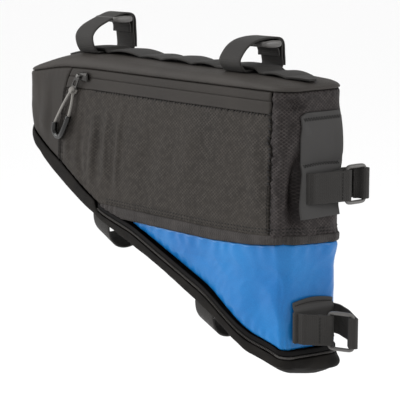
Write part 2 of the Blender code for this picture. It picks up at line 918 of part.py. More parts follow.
# Seat-tube straps: behind the patch, round its near edge, then both ends round an oblong loop
seat_rings = {
    # name: centre out from the seat-tube end and across, degrees turned from across
    "upper": (13.0, 32.5, 3.0),
    "lower": (20.0, 10.5, 57.0),
}
seat_rows = {
    # out from the end, across: short sewn end, front layer, back layer, far short end
    "upper": (
        [(10.1, 8.5), (10.0, 14.0), (9.6, 19.0)],
        [(14.6, 18.0), (11.8, 6.0), (8.4, -8.0), (6.3, -16.5)],
        [(0.3, 25.0), (1.5, 31.0), (4.3, 37.6), (8.4, 42.9)],
        [(10.0, 38.4), (7.4, 35.4)],
    ),
    "lower": (
        [(6.4, -3.0), (6.8, 2.0), (8.0, 6.0)],
        [(11.8, 0.4), (9.4, -5.5), (7.0, -12.5), (4.4, -19.4)],
        [(1.0, 23.8), (5.2, 24.4), (10.0, 23.4), (16.5, 22.5), (22.0, 21.2)],
        [(23.6, 16.8), (21.0, 18.2)],
    ),
}


loose = wrap + gap / 2.0


def round_bar(bar_out, bar_across, toward, turns):
    # Half turn of the strap round one bar of the loop
    points = []
    for turn in turns:
        angle = math.radians(toward + turn)
        points.append((bar_out + loose * math.cos(angle), bar_across + loose * math.sin(angle)))
    return points


for place, (short_end, front_layer, back_layer, far_end) in seat_rows.items():
    level, top, sewn, strap_mid, foot, shift, flare = patches[place]
    z = seam_z - level - strap_mid
    face_out = 0.0 if place == "upper" else -gap - blue_in
    out, across, lean = seat_rings[place]
    turn = math.radians(lean)
    reach = ring_reach - ring_bar
    near_bar = (out - reach * math.sin(turn), across - reach * math.cos(turn))
    far_bar = (out + reach * math.sin(turn), across + reach * math.cos(turn))
    rows = short_end + round_bar(*near_bar, 90.0 - lean, (90, 45, 0, -45, -90)) + front_layer
    path = [Vector((rear_x + u, v, z)) for u, v in rows]
    # Fold round the patch's near edge
    behind = face_out + gap + strap_thick / 2.0
    before = face_out + strap_room + patch_thick + gap + strap_thick / 2.0
    fold_middle = (behind + before) / 2.0
    fold_radius = (before - behind) / 2.0 + 0.1
    x, y, nx, ny = ring(ring_half + shift - patch_half)
    hub = Vector((x + nx * fold_middle, y + ny * fold_middle, z))
    normal = Vector((nx, ny, 0.0))
    tangent = Vector((ny, -nx, 0.0))
    for angle in (90, 45, 0, -45, -90):
        spin = math.radians(angle)
        path.append(hub + (normal * math.sin(spin) + tangent * math.cos(spin)) * fold_radius)
    for step in (-0.85, -0.5, 0.0, 0.5, 0.85, 1.0):
        x, y, nx, ny = ring(ring_half + shift + patch_half * step)
        path.append(Vector((x + nx * behind, y + ny * behind, z)))
    rows = back_layer + round_bar(*far_bar, 90.0 - lean, (45, 0, -45, -90, -135, -180)) + far_end
    path += [Vector((rear_x + u, v, z)) for u, v in rows]
    ribbon("seat_strap_" + place, path, Vector((0, 0, 1)), strap_width, strap_thick, webbing)
    ring_loop("seat_ring_" + place, Vector((rear_x + out, across, z)),
              Vector((math.sin(turn), math.cos(turn), 0)), Vector((0, 0, 1)), ring_reach, ring_wide,
              ring_bar, 1.1)


# Zip slider with its tab, knot and cord pull
def near_y(x, z, off):
    return -(half + skin(ring_at(x), z)) - off


def block(name, centre, size, edge, colour, rough, metal):
    bm = bmesh.new()
    bmesh.ops.create_cube(bm, size=1.0)
    for vert in bm.verts:
        vert.co = centre + Vector((vert.co.x * size[0], vert.co.y * size[1], vert.co.z * size[2]))
    bmesh.ops.bevel(bm, geom=bm.edges[:], offset=edge, segments=1, affect="EDGES", profile=0.5)
    return finish(name, bm, colour, rough, metal, smooth=False)


steel = (0.19, 0.18, 0.17)
cord_colour = (0.38, 0.36, 0.33)
slider_x = front_x + length * 0.269
slider_size = (11.0, 2.8, 8.0)
slider_z = slit_z(ring_at(slider_x)) + 0.8
slider_y = near_y(slider_x, slider_z, slider_size[1] / 2.0 + 0.6)
block("zip_slider", Vector((slider_x, slider_y, slider_z)), slider_size, 0.8, steel, 0.35, 0.9)

# Tab: tapered plate with a hole, leaning down towards the front
tab_length = 15.5
tab_lean = math.radians(34.0)
tab_thick = 1.4
tab_down = Vector((-math.sin(tab_lean), 0.0, -math.cos(tab_lean)))
tab_side = Vector((math.cos(tab_lean), 0.0, -math.sin(tab_lean)))
tab_start = Vector((slider_x - 5.6, slider_y - slider_size[1] / 2.0 - gap - tab_thick / 2.0, slider_z + 1.5))
tab_rows = [
    # down the tab, half width; outer edge and then hole
    (0.00, 2.1, 0.42, 0.9),
    (0.06, 2.7, 0.50, 1.7),
    (0.50, 3.2, 0.62, 2.1),
    (0.88, 3.8, 0.74, 1.9),
    (1.00, 3.1, 0.82, 1.0),
]
tab_mesh = bmesh.new()
tab_layers = []
for level in (-0.5, 0.5):
    shift = Vector((0.0, tab_thick * level, 0.0))
    outer = []
    hole = []
    for side in (1.0, -1.0):
        rows = tab_rows if side > 0 else list(reversed(tab_rows))
        for down, wide, hole_down, hole_wide in rows:
            outer.append(tab_mesh.verts.new(
                tab_start + shift + tab_down * (down * tab_length) + tab_side * (wide * side)))
            hole.append(tab_mesh.verts.new(
                tab_start + shift + tab_down * (hole_down * tab_length) + tab_side * (hole_wide * side)))
    tab_layers.append((outer, hole))
(low_outer, low_hole), (high_outer, high_hole) = tab_layers
for i in range(len(low_outer)):
    j = (i + 1) % len(low_outer)
    tab_mesh.faces.new((low_outer[i], low_outer[j], low_hole[j], low_hole[i]))
    tab_mesh.faces.new((high_outer[i], high_hole[i], high_hole[j], high_outer[j]))
    tab_mesh.faces.new((low_outer[i], high_outer[i], high_outer[j], low_outer[j]))
    tab_mesh.faces.new((low_hole[i], low_hole[j], high_hole[j], high_hole[i]))
finish("pull_tab", tab_mesh, steel, 0.35, 0.9, smooth=False)

# Knot: cord turned round the lower bar of the tab
cord_radius = 1.3
bar_middle = tab_start + tab_down * (tab_length * 0.91)
knot_reach = 2.9
knot_radius = 1.15
knot_mesh = bmesh.new()
knot_loops = []
for k in range(10):
    turn = 2.0 * math.pi * k / 10.0
    out = tab_down * math.cos(turn) + Vector((0.0, -1.0, 0.0)) * math.sin(turn)
    loop = []
    for m in range(6):
        spin = math.pi * m / 3.0
        size = knot_radius * (1.55 if k in (0, 1, 9) else 1.0)
        away = out * (knot_reach + knot_radius * math.cos(spin))
        loop.append(knot_mesh.verts.new(bar_middle + away + tab_side * (size * math.sin(spin))))
    knot_loops.append(loop)
for low, high in zip(knot_loops, knot_loops[1:] + knot_loops[:1]):
    for k in range(6):
        m = (k + 1) % 6
        knot_mesh.faces.new((low[k], low[m], high[m], high[k]))
finish("pull_knot", knot_mesh, cord_colour, 0.8)

# Cord pull: down one side, through the horseshoe sleeve and back up to the knot
knot_foot = bar_middle + tab_down * (knot_reach + knot_radius + gap + 0.2)
sleeve_rows = [
    # along and down from the tab's lower bar
    (-6.2, -25.5),
    (-8.6, -32.0),
    (-12.4, -39.0),
    (-17.2, -45.2),
    (-22.6, -48.8),
    (-28.2, -48.4),
    (-31.8, -44.0),
    (-31.2, -38.4),
]
sleeve_radius = 2.7
sleeve_bore = 1.72


def lay(x, z):
    return Vector((x, near_y(x, z, sleeve_radius + 0.6), z))


sleeve_path = [lay(bar_middle.x + dx, bar_middle.z + dz) for dx, dz in sleeve_rows]
sleeve_path = smooth_path(sleeve_path, 2)
tube("pull_clip", sleeve_path, sleeve_radius, 8, dark, 0.25, bore=sleeve_bore)

right_start = knot_foot + tab_side * 1.55
left_start = knot_foot - tab_side * 1.55


def strand(start, end, parts, bow):
    # From the knot to the end of the sleeve, bowed a little to one side
    points = []
    for k in range(parts):
        t = k / parts
        points.append(start + (end - start) * t + tab_side * (bow * math.sin(math.pi * t)))
    return points


lead = 2.0 * cord_radius
right_end = sleeve_path[0] + (sleeve_path[0] - sleeve_path[1]).normalized() * lead
left_end = sleeve_path[-1] + (sleeve_path[-1] - sleeve_path[-2]).normalized() * lead
route = strand(right_start, right_end, 3, 0.6) + [right_end] + sleeve_path + [left_end]
route += list(reversed(strand(left_start, left_end, 6, -0.8)))
cord_curve = bpy.data.curves.new("pull_cord", "CURVE")
cord_curve.dimensions = "3D"
cord_curve.bevel_depth = cord_radius * mm
cord_curve.bevel_resolution = 2
cord_curve.use_fill_caps = True
spline = cord_curve.splines.new("POLY")
spline.points.add(len(route) - 1)
for point, place in zip(spline.points, route):
    point.co = (place.x * mm, place.y * mm, place.z * mm, 1.0)
cord = bpy.data.objects.new("pull_cord", cord_curve)
bpy.context.scene.collection.objects.link(cord)
cord_material = bpy.data.materials.new("pull_cord")
cord_material.use_nodes = True
cord_shader = cord_material.node_tree.nodes["Principled BSDF"]
cord_shader.inputs["Base Color"].default_value = (*cord_colour, 1.0)
cord_shader.inputs["Roughness"].default_value = 0.8
cord_curve.materials.append(cord_material)
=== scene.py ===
# Frame bag for a bicycle, shown as it hangs from the top tube, with a pale studio floor
import bpy
import bmesh
import math
from mathutils import Matrix, Vector, noise


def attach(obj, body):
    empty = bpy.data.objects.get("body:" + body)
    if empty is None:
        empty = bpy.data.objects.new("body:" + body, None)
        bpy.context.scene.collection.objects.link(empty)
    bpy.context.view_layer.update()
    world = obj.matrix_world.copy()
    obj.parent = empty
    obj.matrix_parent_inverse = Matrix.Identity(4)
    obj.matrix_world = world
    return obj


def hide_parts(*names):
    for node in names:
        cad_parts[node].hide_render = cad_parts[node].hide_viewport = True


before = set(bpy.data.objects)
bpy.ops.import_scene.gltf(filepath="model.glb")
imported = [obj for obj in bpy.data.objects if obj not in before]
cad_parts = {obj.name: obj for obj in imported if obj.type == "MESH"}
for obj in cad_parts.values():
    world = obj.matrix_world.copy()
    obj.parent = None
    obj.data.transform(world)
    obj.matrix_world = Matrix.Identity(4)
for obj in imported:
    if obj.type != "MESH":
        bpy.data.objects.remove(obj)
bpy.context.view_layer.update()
scene = bpy.context.scene
mm = 0.001
print("frame loaded:", len(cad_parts), "nodes")

# Camera, at the height and side of the photograph
cameraPlace = {"spot": (1.1002, -0.9281, 0.1053), "aim": (0.1183, -0.0745, -0.1241), "lens": 144.0}
cameraData = bpy.data.cameras.new("camera")
cameraData.lens = cameraPlace["lens"]
cameraData.sensor_width = 36.0
cameraData.clip_start = 0.05
cameraData.clip_end = 200.0
camera = bpy.data.objects.new("camera", cameraData)
scene.collection.objects.link(camera)
camera.location = cameraPlace["spot"]
lookLine = Vector(cameraPlace["aim"]) - Vector(cameraPlace["spot"])
camera.rotation_euler = lookLine.to_track_quat("-Z", "Y").to_euler()
scene.camera = camera

# Shape of the bag, in millimetres until a mesh is finished
bag = {
    "length": 364.0, "half": 36.0, "depth": 238.0, "corner": 18.0, "rearX": 179.76, "seamZ": -33.0,
    "zipSlit": 8.2, "zipPanel": 18.5, "blackHeight": 123.0, "trimHeight": 11.0, "bandHeight": 20.0,
    "lidHeight": 14.0, "blueIn": 2.6, "puff": 3.0, "gap": 0.3, "zipStrip": 4.6, "coil": 1.2,
    "strapSpacing": 203.0, "strapWidth": 26.0, "strapThick": 1.7,
}
seamZ = bag["seamZ"]
rearX = bag["rearX"]
trimTop = seamZ - bag["blackHeight"]
trimFoot = trimTop - bag["trimHeight"]
frontX = rearX - bag["length"]
pocketRearX = rearX - bag["corner"]
edgeRows = [  # share of the length, share of the depth
    (0.000, 0.276), (0.030, 0.312), (0.090, 0.391), (0.165, 0.462), (0.240, 0.525), (0.320, 0.584),
    (0.450, 0.655), (0.563, 0.718), (0.720, 0.822), (0.808, 0.891), (0.868, 0.933), (0.923, 0.966),
    (0.964, 0.992), (0.984, 1.000), (1.000, 0.980)]
bandRows = [  # share of the length, share of the band height
    (0.000, 0.45), (0.090, 0.70), (0.165, 0.80), (0.240, 0.68), (0.320, 0.64), (0.450, 0.88),
    (0.563, 0.80), (0.720, 0.92), (0.808, 0.78), (0.860, 0.74), (0.923, 0.76), (1.000, 0.80)]
seamRows = [  # share of the length, share of the lid height
    (0.000, -0.58), (0.040, -0.50), (0.085, -0.32), (0.130, -0.12), (0.180, 0.02), (0.300, 0.06),
    (0.600, 0.00), (1.000, -0.05)]
topRows = [
    (0.000, -0.28), (0.050, 0.12), (0.110, 0.54), (0.160, 0.84), (0.200, 1.00), (0.300, 1.00),
    (0.550, 0.84), (0.680, 0.79), (0.800, 0.76), (0.900, 0.62), (0.970, 0.50), (1.000, 0.34)]
lidRows = [  # inset as a share of the half width, height as a share of the lid
    (0.000, 0.00), (0.010, 0.32), (0.045, 0.56), (0.120, 0.76), (0.260, 0.88), (0.480, 0.96),
    (0.780, 1.00)]
pocketRows = [  # share of the black height, share of the length
    (0.00, 0.208), (0.05, 0.196), (0.11, 0.186), (0.20, 0.177), (0.35, 0.169), (0.55, 0.159),
    (0.75, 0.146), (1.00, 0.130)]
foldRows = [  # top, foot, half width, height, start, end
    (0.030, 0.050, 12.0, -2.0, 0.05, 0.60), (0.100, 0.080, 11.0, 2.0, 0.05, 0.75),
    (0.215, 0.165, 7.0, 1.8, 0.22, 0.90), (0.262, 0.228, 7.0, -1.8, 0.25, 1.00),
    (0.315, 0.270, 7.0, 2.0, 0.22, 0.98), (0.372, 0.330, 6.5, 1.7, 0.22, 0.90),
    (0.345, 0.300, 6.0, -1.3, 0.25, 0.90), (0.425, 0.385, 6.0, 1.7, 0.16, 0.98),
    (0.400, 0.360, 6.0, -1.2, 0.30, 0.98), (0.550, 0.500, 18.0, -1.4, 0.30, 0.95),
    (0.700, 0.640, 22.0, 1.2, 0.15, 0.95), (0.900, 0.910, 14.0, 1.6, 0.20, 0.98)]
blueRows = [  # along, down, half sizes, height
    (0.560, 0.640, 40.0, 18.0, 0.9), (0.800, 0.620, 40.0, 16.0, 0.7), (0.860, 0.860, 13.0, 15.0, -2.0),
    (0.780, 0.790, 16.0, 12.0, 1.2), (0.930, 0.740, 14.0, 30.0, 1.2), (0.915, 0.900, 9.0, 12.0, 1.0)]
rearRows = [  # across, down, half sizes, height
    (-0.95, 0.050, 15.0, 8.0, -2.2), (-0.62, 0.350, 9.0, 24.0, -1.8), (0.94, 0.260, 13.0, 24.0, 1.6),
    (-0.95, 0.200, 12.0, 24.0, 1.0)]
extraFolds = [  # on the seat-tube end: across, down, half sizes, height, slant
    (-0.66, 0.046, 13.0, 6.5, -5.4, 0.10), (-0.62, 0.360, 12.0, 43.0, -15.5, -0.08),
    (-1.02, 0.140, 7.0, 30.0, 1.6, 0.10), (-0.55, 0.120, 9.0, 12.0, 1.4, 0.50),
    (-1.05, 0.400, 6.0, 34.0, 1.6, 0.08), (0.90, 0.180, 15.0, 30.0, 3.0, 0.0),
    (-0.30, 0.070, 14.0, 5.0, 1.2, 0.2), (0.30, 0.055, 16.0, 4.0, -0.9, 0.0),
    (-0.30, 0.475, 16.0, 10.0, -1.6, 0.4), (0.72, 0.480, 10.0, 12.0, -1.4, -0.3),
    (-0.92, 0.235, 5.0, 20.0, 1.5, -0.30), (-0.80, 0.120, 6.0, 16.0, -1.6, -0.45)]
trimTopRows = [  # path from the middle of the seat-tube end, lift of the binding's upper edge
    (-120.0, 0.0), (-70.0, 1.5), (-34.0, 4.6), (0.0, 2.6), (22.0, 1.2), (60.0, 0.0)]
trimFootRows = [  # the same for its lower edge
    (-120.0, 0.0), (-70.0, 3.0), (-34.0, 7.6), (0.0, 5.6), (22.0, 4.6), (70.0, 1.5), (120.0, 0.0)]


def spread(start, end, count):
    return [start + (end - start) * k / count for k in range(count + 1)]


def readTable(rows, share):
    if share <= rows[0][0]:
        return rows[0][1]
    for low, high in zip(rows, rows[1:]):
        if share <= high[0]:
            return low[1] + (high[1] - low[1]) * (share - low[0]) / (high[0] - low[0])
    return rows[-1][1]


def softTable(rows, share):
    # Rounded reading, so that no corner shows where two rows meet
    reach = 0.012
    return sum(readTable(rows, share + reach * k) for k in (-2, -1, 0, 1, 2)) / 5.0


def clamp(value, low=0.0, high=1.0):
    return max(low, min(high, value))


def bump(t):
    return 0.0 if abs(t) >= 1.0 else (1.0 - t * t) ** 2


def fade(distance, reach):
    return max(0.0, 1.0 - distance / reach)


def shareX(x):
    return (x - frontX) / bag["length"]


def edgeZ(x):
    return seamZ - bag["depth"] * softTable(edgeRows, shareX(x))


def innerZ(x):
    return edgeZ(x) + bag["bandHeight"] * softTable(bandRows, shareX(x))


def lidSeam(x):
    return seamZ + bag["lidHeight"] * softTable(seamRows, shareX(x))


def lidTop(x):
    return seamZ + bag["lidHeight"] * softTable(topRows, shareX(x))


flat = bag["half"] - bag["corner"]
arc = bag["corner"] * math.pi / 2.0
straight = bag["length"] - 2.0 * bag["corner"]
ringHalf = 2.0 * flat + 2.0 * arc + straight


def ring(a):
    # Place and outward direction on the plan; 0 is the middle of the front end
    side, corner, half = 1.0, bag["corner"], bag["half"]
    if a < 0.0:
        a, side = -a, -1.0
    if a > ringHalf:
        a, side = 2.0 * ringHalf - a, -side
    if a <= flat:
        x, y, nx, ny = frontX, -a, -1.0, 0.0
    elif a <= flat + arc:
        turn = (a - flat) / corner
        nx, ny = -math.cos(turn), -math.sin(turn)
        x, y = frontX + corner + corner * nx, -flat + corner * ny
    elif a <= flat + arc + straight:
        x, y, nx, ny = frontX + corner + a - flat - arc, -half, 0.0, -1.0
    elif a <= flat + 2.0 * arc + straight:
        turn = (a - flat - arc - straight) / corner
        nx, ny = math.sin(turn), -math.cos(turn)
        x, y = rearX - corner + corner * nx, -flat + corner * ny
    else:
        x, y, nx, ny = rearX, -(ringHalf - a), 1.0, 0.0
    return x, y * side, nx, ny * side


def ringAt(x):
    return flat + arc + (x - frontX - bag["corner"])


def mirrored(a):
    return 2 * ringHalf - a


def onRing(a, z, lift):
    x, y, nx, ny = ring(a)
    return Vector((x + nx * lift, y + ny * lift, z))


def outward(a):
    x, y, nx, ny = ring(a)
    return Vector((nx, ny, 0.0))


def innerAt(a):
    return innerZ(ring(a)[0])


def seamAt(a):
    return lidSeam(ring(a)[0])


def ripple(a, z, size, seed):
    return noise.noise(Vector((a / size, z / size, seed)))


swellLook = {"corner": 2.4, "reach": 34.0, "middle": 0.45, "tall": 0.75, "ease": 0.6}


def blackSkin(a, z):
    # Swell, folds and dents of the black walls
    x, y, nx, ny = ring(a)
    down = (seamZ - z) / bag["blackHeight"]
    along = shareX(x)
    hang = clamp((z - innerZ(x)) / bag["bandHeight"])
    swell = math.sin(math.pi * clamp(down)) * math.sin(math.pi * clamp(along)) ** swellLook["ease"]
    out = bag["puff"] * swell * abs(ny) * hang
    frontCorner = bump((abs(a) - flat - 0.5 * arc) / swellLook["reach"])
    tall = bump((down - swellLook["middle"]) / swellLook["tall"])
    out += swellLook["corner"] * frontCorner * tall * hang
    if ny < 0.0:
        for topX, footX, reach, height, start, end in foldRows:
            if start < down < end:
                t = (down - start) / (end - start)
                middle = topX + (footX - topX) * t
                wander = ripple(z, 0.0, 30.0, topX * 50.0) * 0.008
                away = (along - middle - wander) * bag["length"] / reach
                out += hang * height * math.sin(math.pi * t) * bump(away)
    if x > pocketRearX - bag["corner"]:
        for shareY, shareZ, spreadY, spreadZ, height in rearRows:
            across = math.hypot(y - shareY * bag["half"], (rearX - x) * 0.5)
            low = seamZ - shareZ * bag["depth"] - z
            out += height * bump(across / spreadY) * bump(low / spreadZ)
        for shareY, shareZ, spreadY, spreadZ, height, slant in extraFolds:
            low = seamZ - shareZ * bag["depth"] - z
            place = ringHalf + shareY * bag["half"] + slant * low
            out += height * bump((a - place) / spreadY) * bump(low / spreadZ)
    return out


def blueSkin(a, z):
    # Sink and dents of the thin blue cloth
    x, y, nx, ny = ring(a)
    below = trimFoot - z
    above = z - innerZ(x)
    foot = abs(ny) * fade(above, bag["bandHeight"])
    out = -bag["gap"] - bag["blueIn"] * clamp(below / bag["corner"]) * (1.0 - 0.5 * foot)
    room = clamp(above / bag["corner"]) * clamp(below / bag["corner"])
    if ny < 0.0:
        for placeX, shareZ, spreadX, spreadZ, height in blueRows:
            along = (shareX(x) - placeX) * bag["length"] / spreadX
            low = (seamZ - shareZ * bag["depth"] - z) / spreadZ
            out += room * height * bump(along) * bump(low)
    return out


# Making of meshes
def settle(piece, replaced):
    scene.collection.objects.link(piece)
    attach(piece, "root")
    if replaced:
        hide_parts(*replaced)
    return piece


def finishPiece(name, bm, material, replaced):
    for vert in bm.verts:
        vert.co = vert.co * mm
    mesh = bpy.data.meshes.new(name)
    bm.to_mesh(mesh)
    bm.free()
    mesh.materials.append(material)
    for face in mesh.polygons:
        face.use_smooth = True
    return settle(bpy.data.objects.new(name, mesh), replaced)


def layGrid(across, up, place):
    # Grid whose points are laid by place(u, v), with its pattern map in metres
    bm = bmesh.new()
    bmesh.ops.create_grid(bm, x_segments=across, y_segments=up, size=0.5)
    pattern = bm.loops.layers.uv.new("pattern")
    spots = {}
    for vert in bm.verts:
        point, spot = place(vert.co.x + 0.5, vert.co.y + 0.5)
        vert.co = point
        spots[vert] = spot
    for face in bm.faces:
        for loop in face.loops:
            loop[pattern].uv = (spots[loop.vert][0] * mm, spots[loop.vert][1] * mm)
    return bm


def roundEdges(piece, width, segments, angle):
    rounded = piece.modifiers.new("edge", "BEVEL")
    rounded.width = width * mm
    rounded.segments = segments
    rounded.limit_method = "ANGLE"
    rounded.angle_limit = math.radians(angle)


def thicken(piece, thick, offset=-1.0, bevel=0.0):
    shell = piece.modifiers.new("thickness", "SOLIDIFY")
    shell.thickness = thick * mm
    shell.offset = offset
    shell.use_even_offset = False
    if bevel:
        roundEdges(piece, bevel, 2, 50.0)


def closedSheet(name, look, place, material, replaced, flip=False):
    # Sheet that runs round the whole plan and closes on itself
    bm = layGrid(look["around"], look["rows"], place)
    bmesh.ops.remove_doubles(bm, verts=bm.verts, dist=0.02)
    if flip:
        bmesh.ops.reverse_faces(bm, faces=bm.faces)
    piece = finishPiece(name, bm, material, [replaced])
    thicken(piece, look["thick"])
    return piece


def seamDip(distance, wide, deep):
    return -deep * fade(distance, wide) ** 2


def wallPiece(name, look, material):
    # Cloth panel on the plan ring, its edges turned in to the seams
    left, right, low, high = look["left"], look["right"], look["low"], look["high"]
    wide, deep = look.get("seam", (3.0, 1.2))
    shares = look.get("sides", (1, 1, 1, 1))
    middle = seamZ - bag["blackHeight"] / 2.0

    def place(u, v):
        z = middle
        for step in range(3):
            a = left(z) + (right(z) - left(z)) * u
            z = low(a) + (high(a) - low(a)) * v
        nearest = (a - left(z), right(z) - a, z - low(a), high(a) - z)
        dip = sum(seamDip(d, wide, deep * share) for d, share in zip(nearest, shares))
        lift = look["out"](a, z, nearest) + max(dip, -1.8 * deep)
        return onRing(a, z, lift), (a, z)

    bm = layGrid(*look["grid"], place)
    piece = finishPiece(name, bm, material, [look["node"]])
    thicken(piece, look.get("thick", 1.2))
    return piece


# Node groups shared by the materials
def newGroup(name, inputs, outputs):
    # The kind of a socket follows its value: None for a place, four numbers for a colour
    tree = bpy.data.node_groups.new(name, "ShaderNodeTree")
    for label, value in inputs.items():
        kind = "Vector" if value is None else "Color" if isinstance(value, tuple) else "Float"
        socket = tree.interface.new_socket(name=label, in_out="INPUT", socket_type="NodeSocket" + kind)
        if value is not None:
            socket.default_value = value
    for label in outputs:
        kind = "Color" if label == "Color" else "Float"
        tree.interface.new_socket(name=label, in_out="OUTPUT", socket_type="NodeSocket" + kind)
    return tree, tree.nodes.new("NodeGroupInput").outputs, tree.nodes.new("NodeGroupOutput").inputs


def addNode(tree, kind, values=(), **fields):
    node = tree.nodes.new("ShaderNode" + kind)
    for key, value in fields.items():
        setattr(node, key, value)
    for key, value in dict(values).items():
        if isinstance(value, bpy.types.NodeSocket):
            tree.links.new(value, node.inputs[key])
        else:
            node.inputs[key].default_value = value
    return node


def calc(tree, operation, first, second=0.0, third=None):
    values = {0: first, 1: second}
    if third is not None:
        values[2] = third
    return addNode(tree, "Math", values, operation=operation).outputs[0]


def fromMiddle(tree, value):
    # Distance of a running count from the middle of its step
    return calc(tree, "ABSOLUTE", calc(tree, "SUBTRACT", calc(tree, "FRACT", value), 0.5))


def scaledPlace(tree, start, count):
    scaled = addNode(tree, "VectorMath", {0: start["Place"]}, operation="SCALE")
    tree.links.new(start[count], scaled.inputs["Scale"])
    return scaled.outputs[0], addNode(tree, "SeparateXYZ", {0: scaled.outputs[0]}).outputs


def makeWeave():
    # Plain weave: over and under threads on a pattern map in metres
    tree, start, end = newGroup("plainWeave", {"Place": None, "Threads": 1800.0}, ["Height"])
    scaled, parts = scaledPlace(tree, start, "Threads")
    waves = []
    for axis in (0, 1):
        wave = calc(tree, "SINE", calc(tree, "MULTIPLY", parts[axis], math.pi))
        waves.append(calc(tree, "ABSOLUTE", wave))
    checker = addNode(tree, "TexChecker", {"Vector": scaled, "Scale": 1.0})
    mixed = addNode(tree, "Mix", {0: checker.outputs["Fac"], 2: waves[0], 3: waves[1]}, data_type="FLOAT")
    tree.links.new(mixed.outputs[0], end["Height"])
    return tree


def makeRipstop():
    # Diamond lines, broken here and there by wear
    tree, start, end = newGroup("diamondRipstop", {
        "Place": None, "Diamonds": 300.0, "Line": 0.2}, ["Height", "Mask"])
    parts = scaledPlace(tree, start, "Diamonds")[1]
    steep = calc(tree, "MULTIPLY", parts[1], 1.25)
    lines = []
    for sign in ("ADD", "SUBTRACT"):
        far = fromMiddle(tree, calc(tree, sign, parts[0], steep))
        share = calc(tree, "DIVIDE", far, start["Line"])
        lines.append(calc(tree, "SMOOTH_MIN", share, 1.0, 0.3))
    mask = calc(tree, "SUBTRACT", 1.0, calc(tree, "MULTIPLY", lines[0], lines[1]))
    worn = addNode(tree, "TexNoise", {"Vector": start["Place"], "Scale": 190.0, "Detail": 3.0})
    kept = addNode(tree, "MapRange", {0: worn.outputs[0], 1: 0.36, 2: 0.62, 3: 0.12, 4: 1.0})
    broken = calc(tree, "MULTIPLY", mask, kept.outputs[0])
    tree.links.new(broken, end["Mask"])
    tree.links.new(broken, end["Height"])
    return tree


def makeRibs():
    # Cross ribs of webbing with long edge cords
    tree, start, end = newGroup("webbingRibs", {"Place": None, "Ribs": 620.0, "Cords": 420.0}, ["Height"])
    parts = addNode(tree, "SeparateXYZ", {0: start["Place"]}).outputs
    lane = calc(tree, "MULTIPLY", parts[1], start["Cords"])
    laneWave = calc(tree, "SINE", calc(tree, "MULTIPLY", lane, 2.0 * math.pi))
    across = calc(tree, "MULTIPLY", parts[0], start["Ribs"])
    run = calc(tree, "ADD", across, fromMiddle(tree, lane))
    ribWave = calc(tree, "SINE", calc(tree, "MULTIPLY", run, 2.0 * math.pi))
    ribHeight = calc(tree, "MULTIPLY", ribWave, 0.35)
    height = calc(tree, "ADD", ribHeight, calc(tree, "MULTIPLY", laneWave, 0.15))
    tree.links.new(calc(tree, "ADD", height, 0.5), end["Height"])
    return tree


def makeTone():
    # Slow change of colour and gloss with handling, dust and dye
    tree, start, end = newGroup("handledTone", {
        "Deep": (0.05, 0.05, 0.05, 1.0), "Pale": (0.1, 0.1, 0.1, 1.0), "Patches": 22.0, "Grain": 900.0,
        "Marks": 0.35}, ["Color", "Mask"])
    place = addNode(tree, "TexCoord").outputs["Object"]
    parts = []
    for size, detail, share in (("Patches", 4.0, 0.75), ("Grain", 2.0, 0.25)):
        values = {"Vector": place, "Scale": start[size], "Detail": detail}
        parts.append(calc(tree, "MULTIPLY", addNode(tree, "TexNoise", values).outputs[0], share))
    both = calc(tree, "ADD", parts[0], parts[1])
    evened = addNode(tree, "MapRange", {0: both, 1: 0.32, 2: 0.68, 3: 0.0, 4: 1.0}).outputs[0]
    mixed = addNode(tree, "Mix", {0: evened}, data_type="RGBA")
    tree.links.new(start["Deep"], mixed.inputs[6])
    tree.links.new(start["Pale"], mixed.inputs[7])
    tree.links.new(mixed.outputs[2], end["Color"])
    tree.links.new(calc(tree, "MULTIPLY", evened, start["Marks"]), end["Mask"])
    return tree


weaveGroup = makeWeave()
ripstopGroup = makeRipstop()
ribGroup = makeRibs()
toneGroup = makeTone()
finishRows = [  # socket, key of the look, value where the look has none
    ("Metallic", "metal", 0.0), ("Specular IOR Level", "specular", 0.5), ("Sheen Weight", "sheen", 0.0),
    ("Sheen Roughness", "sheenRough", 0.5), ("Coat Weight", "coat", 0.0),
    ("Coat Roughness", "coatRough", 0.3)]


def makeMaterial(name, look):
    # One finish: tone, then its weave as a bump, with roughness that follows the handling
    material = bpy.data.materials.new(name)
    material.use_nodes = True
    tree = material.node_tree
    shader = tree.nodes["Principled BSDF"]
    tone = addNode(tree, "Group", node_tree=toneGroup)
    tone.inputs["Deep"].default_value = (*look["deep"], 1.0)
    tone.inputs["Pale"].default_value = (*look["pale"], 1.0)
    tone.inputs["Patches"].default_value = look.get("patches", 22.0)
    tone.inputs["Grain"].default_value = look.get("grain", 900.0)
    color = tone.outputs["Color"]
    smooth, dull = look["rough"]
    rough = addNode(tree, "MapRange", {0: tone.outputs["Mask"], 1: 0.0, 2: 0.35, 3: smooth, 4: dull})
    tree.links.new(rough.outputs[0], shader.inputs["Roughness"])
    if "pattern" in look:
        place = addNode(tree, "UVMap", uv_map="pattern").outputs[0]
        weave = addNode(tree, "Group", node_tree=look["pattern"], values={"Place": place})
        for key, value in look["counts"].items():
            weave.inputs[key].default_value = value
        height = weave.outputs["Height"]
        if "line" in look:
            mixed = addNode(tree, "Mix", {0: weave.outputs["Mask"], 6: color}, data_type="RGBA")
            mixed.inputs[7].default_value = (*look["line"], 1.0)
            color = mixed.outputs[2]
    else:
        place = addNode(tree, "TexCoord").outputs["Object"]
        height = addNode(tree, "TexNoise", {"Vector": place, "Scale": look.get("grain", 900.0)}).outputs[0]
    strength, distance = look["relief"]
    values = {"Height": height, "Strength": strength, "Distance": distance * mm}
    tree.links.new(addNode(tree, "Bump", values).outputs[0], shader.inputs["Normal"])
    tree.links.new(color, shader.inputs["Base Color"])
    for label, key, usual in finishRows:
        shader.inputs[label].default_value = look.get(key, usual)
    return material


